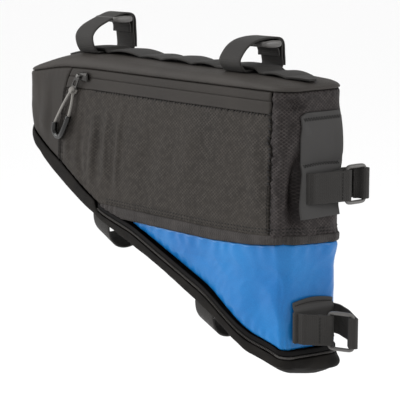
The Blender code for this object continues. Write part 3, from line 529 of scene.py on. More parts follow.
coatedCloth = makeMaterial("coatedCloth", {
    "deep": (0.0235, 0.0205, 0.018), "pale": (0.0385, 0.034, 0.0305), "rough": (0.52, 0.68),
    "pattern": weaveGroup, "counts": {"Threads": 1100.0}, "relief": (0.35, 0.16), "specular": 0.16})
# Paler copy of the coated cloth for the lid: painted light on the top panel, which faces the lights
lidClothPaintedLight = makeMaterial("lidClothPaintedLight", {
    "deep": (0.036, 0.032, 0.0287), "pale": (0.056, 0.0507, 0.0463), "rough": (0.50, 0.66),
    "pattern": weaveGroup, "counts": {"Threads": 1100.0}, "relief": (0.35, 0.16), "specular": 0.16})
ripstop = makeMaterial("blackRipstop", {
    "deep": (0.019, 0.0165, 0.0145), "pale": (0.033, 0.029, 0.0255), "rough": (0.60, 0.76),
    "pattern": ripstopGroup, "counts": {"Diamonds": 250.0, "Line": 0.30}, "line": (0.053, 0.0465, 0.041),
    "relief": (0.6, 0.35), "specular": 0.14})
# Darker copy of the black ripstop for the seat-tube end: painted shade for the end that faces away from the
# lights
rearRipstopPaintedShade = makeMaterial("rearRipstopPaintedShade", {
    "deep": (0.014, 0.0115, 0.0115), "pale": (0.027, 0.023, 0.0225), "rough": (0.58, 0.74),
    "pattern": ripstopGroup, "counts": {"Diamonds": 265.0, "Line": 0.26}, "line": (0.056, 0.048, 0.046),
    "relief": (0.6, 0.35), "specular": 0.16})
webbing = makeMaterial("blackWebbing", {
    "deep": (0.019, 0.0175, 0.0162), "pale": (0.034, 0.032, 0.030), "rough": (0.62, 0.80),
    "pattern": ribGroup, "counts": {"Ribs": 560.0, "Cords": 380.0}, "relief": (0.7, 0.35), "sheen": 0.04,
    "specular": 0.25})
patchCloth = makeMaterial("rubberisedPatch", {
    "deep": (0.032, 0.0307, 0.0298), "pale": (0.0445, 0.0428, 0.0416), "rough": (0.52, 0.66),
    "relief": (0.15, 0.12), "grain": 1400.0, "specular": 0.22})
binding = makeMaterial("greyBinding", {
    "deep": (0.0195, 0.0168, 0.0158), "pale": (0.051, 0.0455, 0.0432), "rough": (0.60, 0.75),
    "pattern": ribGroup, "counts": {"Ribs": 420.0, "Cords": 260.0}, "relief": (0.8, 0.45), "specular": 0.2,
    "patches": 60.0})
blueNylon = makeMaterial("blueNylon", {
    "deep": (0.001, 0.108, 0.355), "pale": (0.010, 0.192, 0.505), "rough": (0.42, 0.55),
    "pattern": weaveGroup, "counts": {"Threads": 2600.0}, "relief": (0.12, 0.06), "coat": 0.38,
    "coatRough": 0.28, "patches": 12.0, "specular": 0.15})
darkCloth = makeMaterial("darkCloth", {
    "deep": (0.004, 0.0034, 0.003), "pale": (0.017, 0.0152, 0.0135), "rough": (0.60, 0.78),
    "pattern": weaveGroup, "counts": {"Threads": 900.0}, "relief": (0.5, 0.25), "specular": 0.1,
    "patches": 50.0})
# Near-black strip colour: painted shadow, the dark line along the foot of the blue cloth, behind the coil
# and under the band
stripClothPaintedShadow = makeMaterial("stripClothPaintedShadow", {
    "deep": (0.003, 0.003, 0.003), "pale": (0.008, 0.007, 0.007), "rough": (0.65, 0.8), "pattern": ribGroup,
    "counts": {"Ribs": 600.0, "Cords": 500.0}, "relief": (0.4, 0.2), "specular": 0.1})
# Coil colour lightened to draw the light line along the blue foot: partly the coil's own nylon, partly
# painted highlight
coilNylonPaintedHighlight = makeMaterial("coilNylonPaintedHighlight", {
    "deep": (0.045, 0.042, 0.039), "pale": (0.090, 0.083, 0.078), "rough": (0.30, 0.45),
    "relief": (0.2, 0.1)})
loopPlastic = makeMaterial("loopPlastic", {
    "deep": (0.085, 0.081, 0.078), "pale": (0.130, 0.124, 0.118), "rough": (0.34, 0.46),
    "relief": (0.15, 0.08), "grain": 1600.0})
threadBlack = makeMaterial("blackThread", {
    "deep": (0.007, 0.006, 0.006), "pale": (0.014, 0.013, 0.012), "rough": (0.6, 0.75),
    "relief": (0.3, 0.1), "specular": 0.25})
gunMetal = makeMaterial("gunMetal", {
    "deep": (0.024, 0.023, 0.022), "pale": (0.085, 0.081, 0.077), "rough": (0.20, 0.32),
    "relief": (0.1, 0.05), "metal": 0.85, "grain": 700.0})
braid = makeMaterial("greyBraid", {
    "deep": (0.15, 0.142, 0.130), "pale": (0.27, 0.255, 0.235), "rough": (0.65, 0.8), "relief": (0.7, 0.3),
    "grain": 1500.0, "sheen": 0.1})
sleeveRubber = makeMaterial("glossySleeve", {
    "deep": (0.004, 0.004, 0.004), "pale": (0.010, 0.0095, 0.009), "rough": (0.10, 0.18),
    "relief": (0.08, 0.05), "specular": 0.4})
darkMetal = makeMaterial("darkMetal", {
    "deep": (0.016, 0.015, 0.014), "pale": (0.050, 0.047, 0.044), "rough": (0.22, 0.34),
    "relief": (0.15, 0.08), "metal": 0.7, "grain": 900.0})
print("materials made:", len(bpy.data.materials))

# Lid
lidLook = {"around": 340, "rows": 34, "bulge": 0.9, "thick": 1.4, "roll": 14.0}


def overEnds(x):
    # Line down the middle of the plan, to which the inset points draw in
    return max(frontX + bag["half"], min(rearX - bag["half"], x))


def lidProfile(v):
    # Height over the inset of the rolled edge, as one smooth line
    inset = v ** 2.6
    reach = inset * 0.97
    if v < 0.12:
        return inset, readTable(lidRows, reach)
    window = 0.004 + inset * 0.12
    near = sum(readTable(lidRows, clamp(reach + d * window, 0.0, 0.97)) for d in (-1, -0.5, 0, 0.5, 1))
    return inset, near / 5.0


def lidSpot(u, v):
    a = u * 2.0 * ringHalf
    x, y, nx, ny = ring(a)
    inset, rise = lidProfile(v)
    middle = overEnds(x)
    keep = 1.0 - inset
    px, py = middle + (x - middle) * keep, y * keep
    rim = lidSeam(x)
    z = rim + (lidTop(px) - rim) * rise
    high = rise * lidLook["roll"]
    out = lidLook["bulge"] * bump((rise - 0.38) / 0.5) + seamDip(high, 2.6, 2.0)
    out += 0.35 * ripple(a, high, 21.0, 3.1) * bump((rise - 0.5) / 0.6)
    z += 0.35 * ripple(px, py, 26.0, 5.2) * clamp(inset * 6.0)
    reach = math.hypot(px - x, py - y)
    return Vector((px + nx * out, py + ny * out, z)), (a, reach + rise * 12.0)


lid = closedSheet("lid", lidLook, lidSpot, lidClothPaintedLight, "top_panel")
print("lid done")


# Black walls
def lowBlack(a):
    # The walls run on a little way under the binding
    under = trimTop - 3.0 + readTable(trimTopRows, a - ringHalf)
    return max(under, innerAt(a) + 0.4)


def highBlack(a):
    return seamAt(a) - 0.1


def pocketFront(z):
    return ringAt(frontX + bag["length"] * softTable(pocketRows, (seamZ - z) / bag["blackHeight"]))


pocketRear = ringAt(pocketRearX)


def cornerSeam(z):
    # Corner seam, pulled to and fro where the zip end and the lining are caught in it
    down = (seamZ - z) / bag["blackHeight"]
    sway = (1.5 * bump((down - 0.36) / 0.34) + 0.35) * 1.6 * ripple(z, 0.0, 7.0, 15.3)
    return pocketRear + sway - 2.2 * clamp((down - 0.5) / 0.5)


def slitZ(a):
    return seamAt(a) - bag["zipSlit"]


def zipEdgeZ(a):
    return seamAt(a) - bag["zipPanel"]


def clothOut(amount, size, seed, pucker=0.0):
    # Panel surface with its own small unevenness, gathered a little beside the seams
    def out(a, z, nearest):
        fine = amount * ripple(a, z, size, seed) + amount * 0.45 * ripple(a, z, size * 0.42, seed + 4.0)
        beside, above = min(nearest[:2]), min(nearest[2:])
        if beside < above:
            wave = math.sin(z * 0.9 + 2.0 * ripple(a, z, 18.0, seed + 11.0))
        else:
            wave = math.sin(a * 0.95 + 2.0 * ripple(a, z, 18.0, seed + 9.0))
        gather = pucker * wave * fade(min(beside, above), 9.0)
        return blackSkin(a, z) + fine + gather
    return out


fullWall = {"low": lowBlack, "high": highBlack}
nearSide = {"left": pocketFront, "right": cornerSeam}
wallPiece("frontCloth", {
    **fullWall, "left": lambda z: -pocketFront(z), "right": pocketFront, "grid": (130, 56),
    "out": clothOut(0.45, 24.0, 1.3, 0.16), "node": "front_panel"}, coatedCloth)
wallPiece("pocketCloth", {
    **nearSide, "low": lowBlack, "high": zipEdgeZ, "grid": (190, 72), "out": clothOut(0.5, 22.0, 2.7, 0.3),
    "node": "pocket_panel", "sides": (1, 2.0, 1.2, 0.8)}, ripstop)
wallPiece("zipBandUpper", {
    **nearSide, "low": slitZ, "high": highBlack, "grid": (190, 8), "out": clothOut(0.12, 22.0, 6.1),
    "node": "zip_tape_upper", "seam": (1.8, 1.2), "sides": (1, 1, 0.42, 1.5)}, coatedCloth)
wallPiece("zipBandLower", {
    **nearSide, "low": zipEdgeZ, "high": slitZ, "grid": (190, 10), "out": clothOut(0.15, 22.0, 6.4),
    "node": "zip_tape_lower", "seam": (1.8, 1.2), "sides": (1, 1, -0.25, 0.42)}, coatedCloth)
# The seat-tube end wears the darker ripstop copy, which is painted shade
wallPiece("rearCloth", {
    **fullWall, "left": cornerSeam, "right": lambda z: mirrored(cornerSeam(z)), "grid": (100, 96),
    "out": clothOut(0.8, 15.0, 8.2, 0.5), "node": "rear_panel", "sides": (2.0, 1, 1.6, 1)},
    rearRipstopPaintedShade)
wallPiece("farCloth", {
    **fullWall, "left": lambda z: mirrored(cornerSeam(z)), "right": lambda z: mirrored(pocketFront(z)),
    "grid": (170, 72), "out": clothOut(0.5, 26.0, 9.9, 0.2), "node": "far_panel"}, ripstop)
print("black walls done")


# Trim, blue shell, zip round its foot
def firstX(level):
    low, high = frontX + bag["corner"], rearX - bag["corner"]
    for step in range(40):
        middle = (low + high) / 2.0
        if innerZ(middle) > level:
            low = middle
        else:
            high = middle
    return high


trimStart = ringAt(firstX(trimTop - 2.6))
blueStart = ringAt(firstX(trimFoot - 2.9))
stripStart = ringAt(firstX(trimTop - 0.6))
nearCorner = ringHalf - flat - arc - 10.0


def roundRear(start):
    return {"left": lambda z: start, "right": lambda z: mirrored(start)}


def rimZ(a):
    # Foot of the blue cloth, lifted a little before the near corner
    return innerAt(a) + 2.0 * bump((a - ringHalf + 47.0) / 28.0)


def trimHigh(a):
    return trimTop + readTable(trimTopRows, a - ringHalf)


def trimLow(a):
    return trimFoot + readTable(trimFootRows, a - ringHalf)


cornerLook = {"deep": 7.4, "reach": 58.0, "least": 0.42, "fall": 30.0}


def cornerIn(a, z):
    # The near corner of the seat-tube end rounds off towards the foot
    near = bump((a - (ringHalf - flat - 0.5 * arc)) / cornerLook["reach"])
    low = clamp((trimLow(a) - z) / cornerLook["fall"])
    return -cornerLook["deep"] * near * (cornerLook["least"] + (1.0 - cornerLook["least"]) * low)


trimLook = {"out": 0.9, "round": 0.9, "frontPucker": 0.75, "rearPucker": 0.9, "fine": 0.3, "fineRear": 0.9}


def trimOut(a, z, nearest):
    front = math.sin(ring(a)[0] * 0.85 + 1.5 * ripple(a, z, 14.0, 2.0)) * bump((a - trimStart - 12.0) / 22.0)
    rear = math.sin(a * 1.9 + 1.2 * ripple(a, z, 16.0, 7.0)) * bump((a - pocketRear - 8.0) / 34.0)
    fine = trimLook["fine"] + trimLook["fineRear"] * clamp((a - pocketRear) / 30.0)
    pucker = trimLook["frontPucker"] * front + trimLook["rearPucker"] * rear + fine * ripple(a, z, 6.0, 3.0)
    middle = bump((z - (trimHigh(a) + trimLow(a)) / 2.0) / (bag["trimHeight"] * 0.62))
    return trimLook["out"] + pucker + trimLook["round"] * middle + 0.55 * cornerIn(a, trimHigh(a))


crumpleLook = {"ridge": 0.8, "small": 0.3, "gather": 0.6, "tuck": 4.4, "tuckReach": 20.0, "tuckRun": 70.0}


def blueOut(a, z, nearest):
    # Thin cloth: soft crumples, and gathers that run down from the trim and up from the foot
    toFoot, toTrim = nearest[2:]
    ridge = 1.0 - abs(ripple(a * 0.8 + z * 0.35, z, 26.0, 4.4)) * 2.2
    small = 1.0 - abs(ripple(a - z * 0.5, z, 12.0, 8.8)) * 2.2
    free = clamp(min(toFoot, toTrim) / 8.0)
    hang = math.sin(a * 0.42 + 2.5 * ripple(a, z, 30.0, 1.0))
    hang *= fade(toTrim, 16.0) * clamp(toTrim / 3.0)
    lift = math.sin(a * 0.6 + 2.5 * ripple(a, z, 24.0, 2.2))
    lift *= fade(toFoot, 12.0) * clamp(toFoot / 3.0)
    fromCorner = clamp((nearCorner - min(a, mirrored(a))) / crumpleLook["tuckRun"])
    tuck = crumpleLook["tuck"] * fade(toFoot, crumpleLook["tuckReach"]) ** 2 * fromCorner
    crumple = free * (crumpleLook["ridge"] * ridge + crumpleLook["small"] * small - 0.5)
    crumple += crumpleLook["gather"] * (hang + lift)
    return blueSkin(a, z) + cornerIn(a, z) + crumple - tuck


wallPiece("trimBinding", {
    **roundRear(trimStart), "low": lambda a: max(trimLow(a), innerAt(a) + 0.3), "high": trimHigh,
    "grid": (420, 10), "out": trimOut, "node": "trim_band", "seam": (1.6, 1.2)}, binding)
wallPiece("blueCloth", {
    **roundRear(blueStart), "low": lambda a: rimZ(a) + 0.1, "high": trimLow, "grid": (300, 56),
    "out": blueOut, "node": "lower_shell", "seam": (2.5, 0.8), "thick": 0.9}, blueNylon)


def stripOut(a, z, nearest):
    # The strip passes behind the coil and under the band
    behind = 1.8 * clamp((rimZ(a) - bag["zipStrip"] + 0.5 - z) / 1.0)
    return -0.4 - behind + cornerIn(a, z) + 0.25 * ripple(a, z, 9.0, 5.0)


# This strip carries the near-black painted shadow along the foot of the blue cloth
wallPiece("expansionStripPaintedShadow", {
    **roundRear(stripStart), "low": lambda a: rimZ(a) - bag["zipStrip"] - 3.4, "high": rimZ,
    "grid": (300, 10), "out": stripOut, "node": "expansion_tape", "seam": (1.2, 0.6)},
    stripClothPaintedShadow)


def tubeAlong(name, points, radius, sides, material, replaced):
    # Round bar: one circle is drawn out along the points
    bm = bmesh.new()
    made = bmesh.ops.create_circle(bm, cap_ends=False, segments=sides, radius=radius)
    shape = [vert.co.copy() for vert in made["verts"]]
    edges = list(bm.edges)
    tangent = (points[1] - points[0]).normalized()
    turn = tangent.to_track_quat("Z", "Y")
    for vert, flatSpot in zip(made["verts"], shape):
        vert.co = points[0] + turn @ flatSpot
    for k in range(1, len(points)):
        fresh = (points[min(k + 1, len(points) - 1)] - points[k - 1]).normalized()
        turn = tangent.rotation_difference(fresh) @ turn
        tangent = fresh
        made = bmesh.ops.extrude_edge_only(bm, edges=edges)["geom"]
        newVerts = [g for g in made if isinstance(g, bmesh.types.BMVert)]
        for vert, flatSpot in zip(newVerts, shape):
            vert.co = points[k] + turn @ flatSpot
        newEdges = [g for g in made if isinstance(g, bmesh.types.BMEdge)]
        edges = [edge for edge in newEdges if all(v in newVerts for v in edge.verts)]
    bmesh.ops.holes_fill(bm, edges=[e for e in bm.edges if e.is_boundary], sides=sides)
    bmesh.ops.recalc_face_normals(bm, faces=bm.faces)
    return finishPiece(name, bm, material, replaced)


def lineCurve(name, points, radius, fineness):
    # Round line through points given in millimetres
    curve = bpy.data.curves.new(name, "CURVE")
    curve.dimensions = "3D"
    curve.bevel_depth = radius * mm
    curve.bevel_resolution = fineness
    line = curve.splines.new("POLY")
    line.points.add(len(points) - 1)
    for spot, point in zip(line.points, points):
        spot.co = (point[0] * mm, point[1] * mm, point[2] * mm, 1.0)
    return curve


coilLook = {"pitch": 1.5, "wire": 0.42, "reach": 0.85, "perTurn": 7}
coilDrop = bag["zipStrip"] + bag["gap"] + bag["coil"]
coilLong = mirrored(stripStart) - stripStart
coilCount = int(coilLong / coilLook["pitch"] * coilLook["perTurn"])
coilPoints = []
for k in range(coilCount + 1):
    a = stripStart + coilLong * k / coilCount
    turn = (a - stripStart) / coilLook["pitch"] * 2.0 * math.pi
    lift = -0.9 + cornerIn(a, rimZ(a)) + coilLook["reach"] * math.cos(turn)
    coilPoints.append(onRing(a, rimZ(a) - coilDrop + coilLook["reach"] * math.sin(turn), lift))
coilDraft = bpy.data.objects.new("coilDraft", lineCurve("footZipCoil", coilPoints, coilLook["wire"], 0))
scene.collection.objects.link(coilDraft)
bpy.context.view_layer.update()
coilMesh = bpy.data.meshes.new_from_object(coilDraft.evaluated_get(bpy.context.evaluated_depsgraph_get()))
bpy.data.objects.remove(coilDraft)
coilMesh.name = "footZipCoil"
coilMesh.materials.clear()
coilMesh.materials.append(coilNylonPaintedHighlight)
settle(bpy.data.objects.new("footZipCoil", coilMesh), ["expansion_coil"])
print("blue shell and foot zip done")

# Band against the down tube
footLook = {"around": 340, "rows": 40, "thick": 1.4, "flange": 0.4}


def flangeZ(a):
    drop = bag["zipStrip"] + bag["gap"] + 2.0 * bag["coil"] + bag["gap"]
    along = min(a, mirrored(a)) - stripStart + 4.0
    return rimZ(a) - 0.1 - drop * clamp(along / 4.0)


sagLook = {"least": 1.6, "more": 6.5, "at": 0.955, "reach": 0.115}


def sag(x):
    return sagLook["least"] + sagLook["more"] * bump((shareX(x) - sagLook["at"]) / sagLook["reach"])


def footDrop(x, y):
    # The band hangs lower along the front stretch and at the far corner of the seat-tube end
    share = shareX(x)
    near = 2.2 * bump((share - 0.87) / 0.08) - 3.2 * clamp((share - 0.93) / 0.05) * clamp((10.0 - y) / 46.0)
    end = clamp((share - 0.9) / 0.1)
    far = 4.4 * clamp((y + 36.0) / 72.0) + 2.2 * bump((y - 2.0) / 34.0)
    return 1.8 * clamp((0.34 - share) / 0.1) + end * far + near


def flangeSpot(a, t):
    # Upright part of the band, under the zip
    x, y, nx, ny = ring(a)
    top, foot = flangeZ(a), edgeZ(x) - footDrop(x, y)
    z = top + (foot - top) * t
    lift = 1.0 + cornerIn(a, top) + 0.6 * bump((t - 0.55) / 0.6) + 0.3 * ripple(a, z, 9.0, 6.6)
    lift += seamDip(top - z, 1.4, 0.8)
    lift += 3.2 * bump((a - ringHalf - 22.0) / 30.0) * bump((t - 0.6) / 0.6)
    lift += (0.5 + 1.3 * clamp((shareX(x) - 0.8) / 0.1)) * ripple(a, z * 1.6, 13.0, 2.9)
    lift -= 1.4 * max(0.0, (t - 0.75) / 0.25) ** 2
    z += 0.7 * max(0.0, (t - 0.8) / 0.2) ** 2
    return onRing(a, z, lift), (a, z)


def footSpot(u, v):
    a = u * 2.0 * ringHalf
    if v < footLook["flange"]:
        return flangeSpot(a, v / footLook["flange"])
    t = (v - footLook["flange"]) / (1.0 - footLook["flange"])
    x, y, nx, ny = ring(a)
    middle = overEnds(x)
    keep = 1.0 - (0.012 + 0.988 * t)
    tuck = cornerIn(a, flangeZ(a)) * (1.0 - t)
    px, py = middle + (x - middle) * keep + nx * tuck, y * keep + ny * tuck
    hollow = sag(px) * math.sin(0.5 * math.pi * clamp(t * 1.5)) ** 0.9
    z = edgeZ(px) - footDrop(px, py) + 0.5 * (1.0 - t) ** 4 - hollow
    z += 0.3 * ripple(px, py, 24.0, 7.1)
    return Vector((px, py, z)), (a, edgeZ(x) - t * bag["half"])


closedSheet("footBand", footLook, footSpot, darkCloth, "down_tube_band", True)
print("foot band done")


# Webbing tape on the lid, and all straps
def lidSurface(x, y):
    rim = lidSeam(x)
    return rim + (lidTop(x) - rim) * readTable(lidRows, (bag["half"] - abs(y)) / bag["half"])


frontStrap = shareX(-bag["strapSpacing"] / 2.0)
tapeLook = {
    "half": 15.0, "thick": 1.8, "lift": 0.5, "front": 0.122, "shoulder": 0.940, "tip": 0.984,
    "grid": (230, 14), "bevel": 0.35}
archRows = [  # start, end, height, level
    (frontStrap - 0.046, frontStrap + 0.054, 3.3, True), (frontStrap + 0.054, 0.415, 3.2, False),
    (0.415, 0.497, 1.6, False), (0.497, 0.610, 3.0, False), (0.610, 0.700, 2.7, False),
    (0.725, 0.850, 3.2, True), (0.865, 0.937, 1.8, False)]


def tapeRise(share):
    for start, end, height, level in archRows:
        if start < share < end:
            t = (share - start) / (end - start)
            if level:
                return height * math.sin(math.pi * clamp(min(t, 1.0 - t) / 0.3, 0.0, 0.5))
            return height * math.sin(math.pi * t) ** 0.8
    return 0.0


def tapeSpot(u, v):
    share = tapeLook["front"] + (tapeLook["tip"] - tapeLook["front"]) * u
    x = frontX + bag["length"] * share
    narrow = clamp((share - tapeLook["shoulder"]) / (tapeLook["tip"] - tapeLook["shoulder"]))
    side = 2.0 * v - 1.0
    y = tapeLook["half"] * (1.0 - 0.72 * narrow) * side
    rise = tapeRise(share) * (1.0 - 0.12 * side ** 2)
    return Vector((x, y, lidSurface(x, y) + tapeLook["lift"] + tapeLook["thick"] + rise)), (x, y)


tape = finishPiece("daisyTape", layGrid(*tapeLook["grid"], tapeSpot), webbing, ["daisy_tape"])
thicken(tape, tapeLook["thick"], -1.0, tapeLook["bevel"])


def smoothPath(points, parts):
    path = []
    count = len(points)
    for i in range(count - 1):
        a, b = points[max(i - 1, 0)], points[i]
        c, d = points[i + 1], points[min(i + 2, count - 1)]
        for k in range(parts):
            t = k / parts
            pull = (c - a) * (t * (1 - t) ** 2 * 0.5) - (d - b) * (t * t * (1 - t) * 0.5)
            path.append(b + (c - b) * (t * t * (3 - 2 * t)) + pull)
    path.append(points[-1])
    return path


def runLengths(points):
    lengths = [0.0]
    for first, second in zip(points, points[1:]):
        lengths.append(lengths[-1] + (second - first).length)
    return lengths


def stations(lengths, wants):
    # For each wanted length: the stretch it falls in, and the share of that stretch
    k = 0
    for want in wants:
        while k < len(lengths) - 2 and lengths[k + 1] < want:
            k += 1
        yield k, clamp((want - lengths[k]) / max(1e-9, lengths[k + 1] - lengths[k]))


strapLook = {"step": 1.3, "across": 8, "bevel": 0.4}


def strapPiece(name, path, across, replaced, closed=False):
    # Webbing along a path with points at an even distance, its pattern running with its length
    lengths = runLengths(path)
    long, wide = lengths[-1], bag["strapWidth"]
    count = max(2, round(long / strapLook["step"]))
    even = [path[k].lerp(path[k + 1], t) for k, t in stations(lengths, spread(0.0, long, count))]

    def place(u, v):
        side = (v - 0.5) * wide
        return even[round(u * count)] + across * side, (long * u, side)

    bm = layGrid(count, strapLook["across"], place)
    if closed:
        bmesh.ops.remove_doubles(bm, verts=bm.verts, dist=0.02)
    piece = finishPiece(name, bm, webbing, [replaced])
    thicken(piece, bag["strapThick"], 0.0, strapLook["bevel"])


ringLook = {"centre": (8.5, 30.5), "reach": 12.2, "bar": 2.0}
wrap = ringLook["bar"] + bag["gap"] + bag["strapThick"] / 2.0
barY = ringLook["centre"][0] + ringLook["reach"] - ringLook["bar"]
barZ = ringLook["centre"][1]
topStrapRows = [
    (barY - 0.4, 18.0), (barY - 0.5, 24.0), (barY - wrap * 0.72, barZ - wrap * 0.92), (barY - wrap, barZ),
    (barY - wrap * 0.7, barZ + wrap * 0.7), (barY, barZ + wrap), (barY + wrap * 0.7, barZ + wrap * 0.7),
    (barY + wrap, barZ), (barY + wrap, 20.0), (barY + wrap + 1.2, 8.0), (22.4, 2.8), (19.4, 0.62),
    (8.0, 1.35), (-8.0, 1.35), (-19.4, 0.62), (-22.6, 2.9), (-25.4, 8.0), (-26.6, 15.5), (-24.4, 22.6),
    (-18.6, 28.8), (-10.5, 33.2), (0.0, 35.4), (11.0, 36.0), (20.0, 35.2), (24.0, 31.2), (24.8, 22.0),
    (25.3, 13.0), (25.4, 3.8)]


def sunk(rise, slack):
    return rise - slack * clamp((rise - 3.0) / 19.0)


def rounder(y, rise, fall):
    # Near shoulder of the loop, let down by its own weight
    return fall * bump((y + 12.0) / 26.0) * clamp((rise - 12.0) / 10.0)


topStrapLooks = {  # place along the tube, slack, fall of the near shoulder
    "Front": (-bag["strapSpacing"] / 2.0, 0.0, 4.8), "Rear": (bag["strapSpacing"] / 2.0, 8.5, 0.0)}
for end, (x, slack, fall) in topStrapLooks.items():
    path = []
    for y, rise in topStrapRows:
        path.append(Vector((x, y, lidTop(x) + sunk(rise, slack) - rounder(y, rise, fall))))
    strapPiece("topStrap" + end, smoothPath(path, 6), Vector((-1, 0, 0)), "top_strap_" + end.lower())

downRows = [
    (0.0, 2.75), (9.0, 2.75), (19.0, 2.45), (22.4, 4.4), (23.2, 9.5), (20.8, 17.0), (14.5, 23.6),
    (5.5, 27.2), (-6.0, 28.2), (-16.0, 25.2), (-22.4, 18.3), (-24.3, 9.8), (-22.6, 4.5), (-19.0, 2.45),
    (-9.0, 2.75), (0.0, 2.75)]
downPlaces = {"Front": 0.283, "Rear": 0.689}
for end, share in downPlaces.items():
    x = frontX + bag["length"] * share
    reach = bag["strapWidth"] * 0.4
    fall = readTable(edgeRows, shareX(x - reach)) - readTable(edgeRows, shareX(x + reach))
    along = Vector((1.0, 0.0, fall * bag["depth"] / (2.0 * reach))).normalized()
    centre = Vector((x, 0.0, seamZ - bag["depth"] * readTable(edgeRows, shareX(x))))
    path = smoothPath([centre + Vector((0.0, y, -off / along.x)) for y, off in downRows], 6)
    strapPiece("downStrap" + end, path, -along, "down_strap_" + end.lower(), True)
print("top and down straps done")

# Patches and straps towards the seat tube
seatLook = {"half": 21.8, "thick": 1.6, "bevel": 0.3, "room": bag["strapThick"] + 2.0 * bag["gap"]}
endFoot = bag["depth"] * edgeRows[-1][1] - bag["bandHeight"]
patchLooks = {  # depths below the lid seam, shape of the patch, then inset, sink and arc of its strap
    "upper": {"top": 18.0, "sewn": 60.0, "strap": 80.0, "foot": 105.0, "shift": 1.5, "flare": 3.0,
              "wider": 0.15, "slide": 2.4, "bow": 0.0, "topPinch": 0.5, "rows": 84,
              "inset": 7.0, "sunk": (0.0, 0.0), "arc": 0.0},
    "lower": {"top": endFoot - 38.74, "sewn": endFoot - 32.74, "strap": endFoot - 16.24,
              "foot": endFoot - 1.74, "shift": 0.8, "flare": 1.2,
              "wider": 0.0, "slide": 0.0, "bow": 3.0, "topPinch": 0.0, "rows": 44,
              "inset": 3.0, "sunk": (3.5, 0.115), "arc": 7.4},
}


def patchPlace(look, upper):
    top, sewn, foot, room = look["top"], look["sewn"], look["foot"], seatLook["room"]
    band = bag["strapWidth"] / 2.0 + 1.0
    rows = [  # depth, lift, share of the width
        (top, 0.3, 0.93), (top + 1.6, 0.3, 1.0), ((top + sewn) / 2.0, 0.3, 1.0), (sewn, 0.3, 1.0),
        (look["strap"] - band, room, 0.99), (look["strap"] + band, room, 0.99),
        (foot, room + look["flare"], 0.97)]
    liftRows = [(drop, lift) for drop, lift, share in rows]
    shareRows = [(drop, share) for drop, lift, share in rows]

    def spot(u, v):
        side = 2.0 * u - 1.0
        drop = foot + (top - foot) * v
        drop += look["bow"] * side * side * clamp((v - 0.55) / 0.45)
        lift = share = 0.0
        for k in (-2, -1, 0, 1, 2):
            lift += readTable(liftRows, drop + k * 1.1) / 5.0
            share += readTable(shareRows, drop + k * 0.7) / 5.0
        # Rounded upper corners
        share -= 0.16 * fade(drop - top, 3.5) ** 2
        share += look["wider"] * clamp(side) * clamp((sewn + 8.0 - drop) / 14.0)
        slide = look["slide"] * clamp((drop - sewn - 8.0) / 30.0)
        a = ringHalf + look["shift"] - slide + side * seatLook["half"] * share
        pinch = -0.5 * bump((drop - sewn) / 1.6) - look["topPinch"] * bump((drop - top - 3.5) / 1.6)
        z = seamZ - drop
        if upper:
            body = max(0.0, blackSkin(a, z) * 1.2)
        else:
            body = 0.7 * cornerIn(a, z) - bag["gap"] - bag["blueIn"]
        loose = 0.35 * ripple(a, z, 16.0, 12.0) * clamp((drop - sewn) / 10.0)
        return onRing(a, z, body + lift + seatLook["thick"] + pinch + loose), (a, z)

    return spot


patchPlaces = {}
for name, look in patchLooks.items():
    patchPlaces[name] = patchPlace(look, name == "upper")
    bm = layGrid(48, look["rows"], patchPlaces[name])
    patch = finishPiece("seatPatch" + name.title(), bm, patchCloth, ["seat_patch_" + name])
    thicken(patch, seatLook["thick"], -1.0, seatLook["bevel"])
seatRings = {  # place of the loop and its lean
    "upper": (13.0, 32.5, 3.0), "lower": (20.0, 10.5, 57.0)}
seatRows = {  # short end, layer before the patch, layer behind it, far end
    "upper": (
        [(10.1, 8.5), (10.0, 14.0), (9.6, 19.0)], [(14.6, 18.0), (11.8, 6.0), (8.6, -6.0), (7.4, -11.0)],
        [(0.3, 25.0), (1.5, 31.0), (4.3, 37.6), (8.4, 42.9)], [(10.0, 38.4), (7.4, 35.4)]),
    "lower": (
        [(6.4, -3.0), (6.8, 2.0), (8.0, 6.0)], [(11.8, 0.4), (9.2, -5.5), (5.8, -12.0), (3.0, -16.5)],
        [(1.0, 23.8), (5.2, 24.4), (10.0, 23.4), (16.5, 22.5), (22.0, 21.2)], [(23.6, 16.8), (21.0, 18.2)]),
}
looseWrap = wrap + bag["gap"] / 2.0


def roundBar(out, across, toward, turns):
    rows = []
    for t in turns:
        turn = math.radians(toward + t)
        rows.append((out + looseWrap * math.cos(turn), across + looseWrap * math.sin(turn)))
    return rows


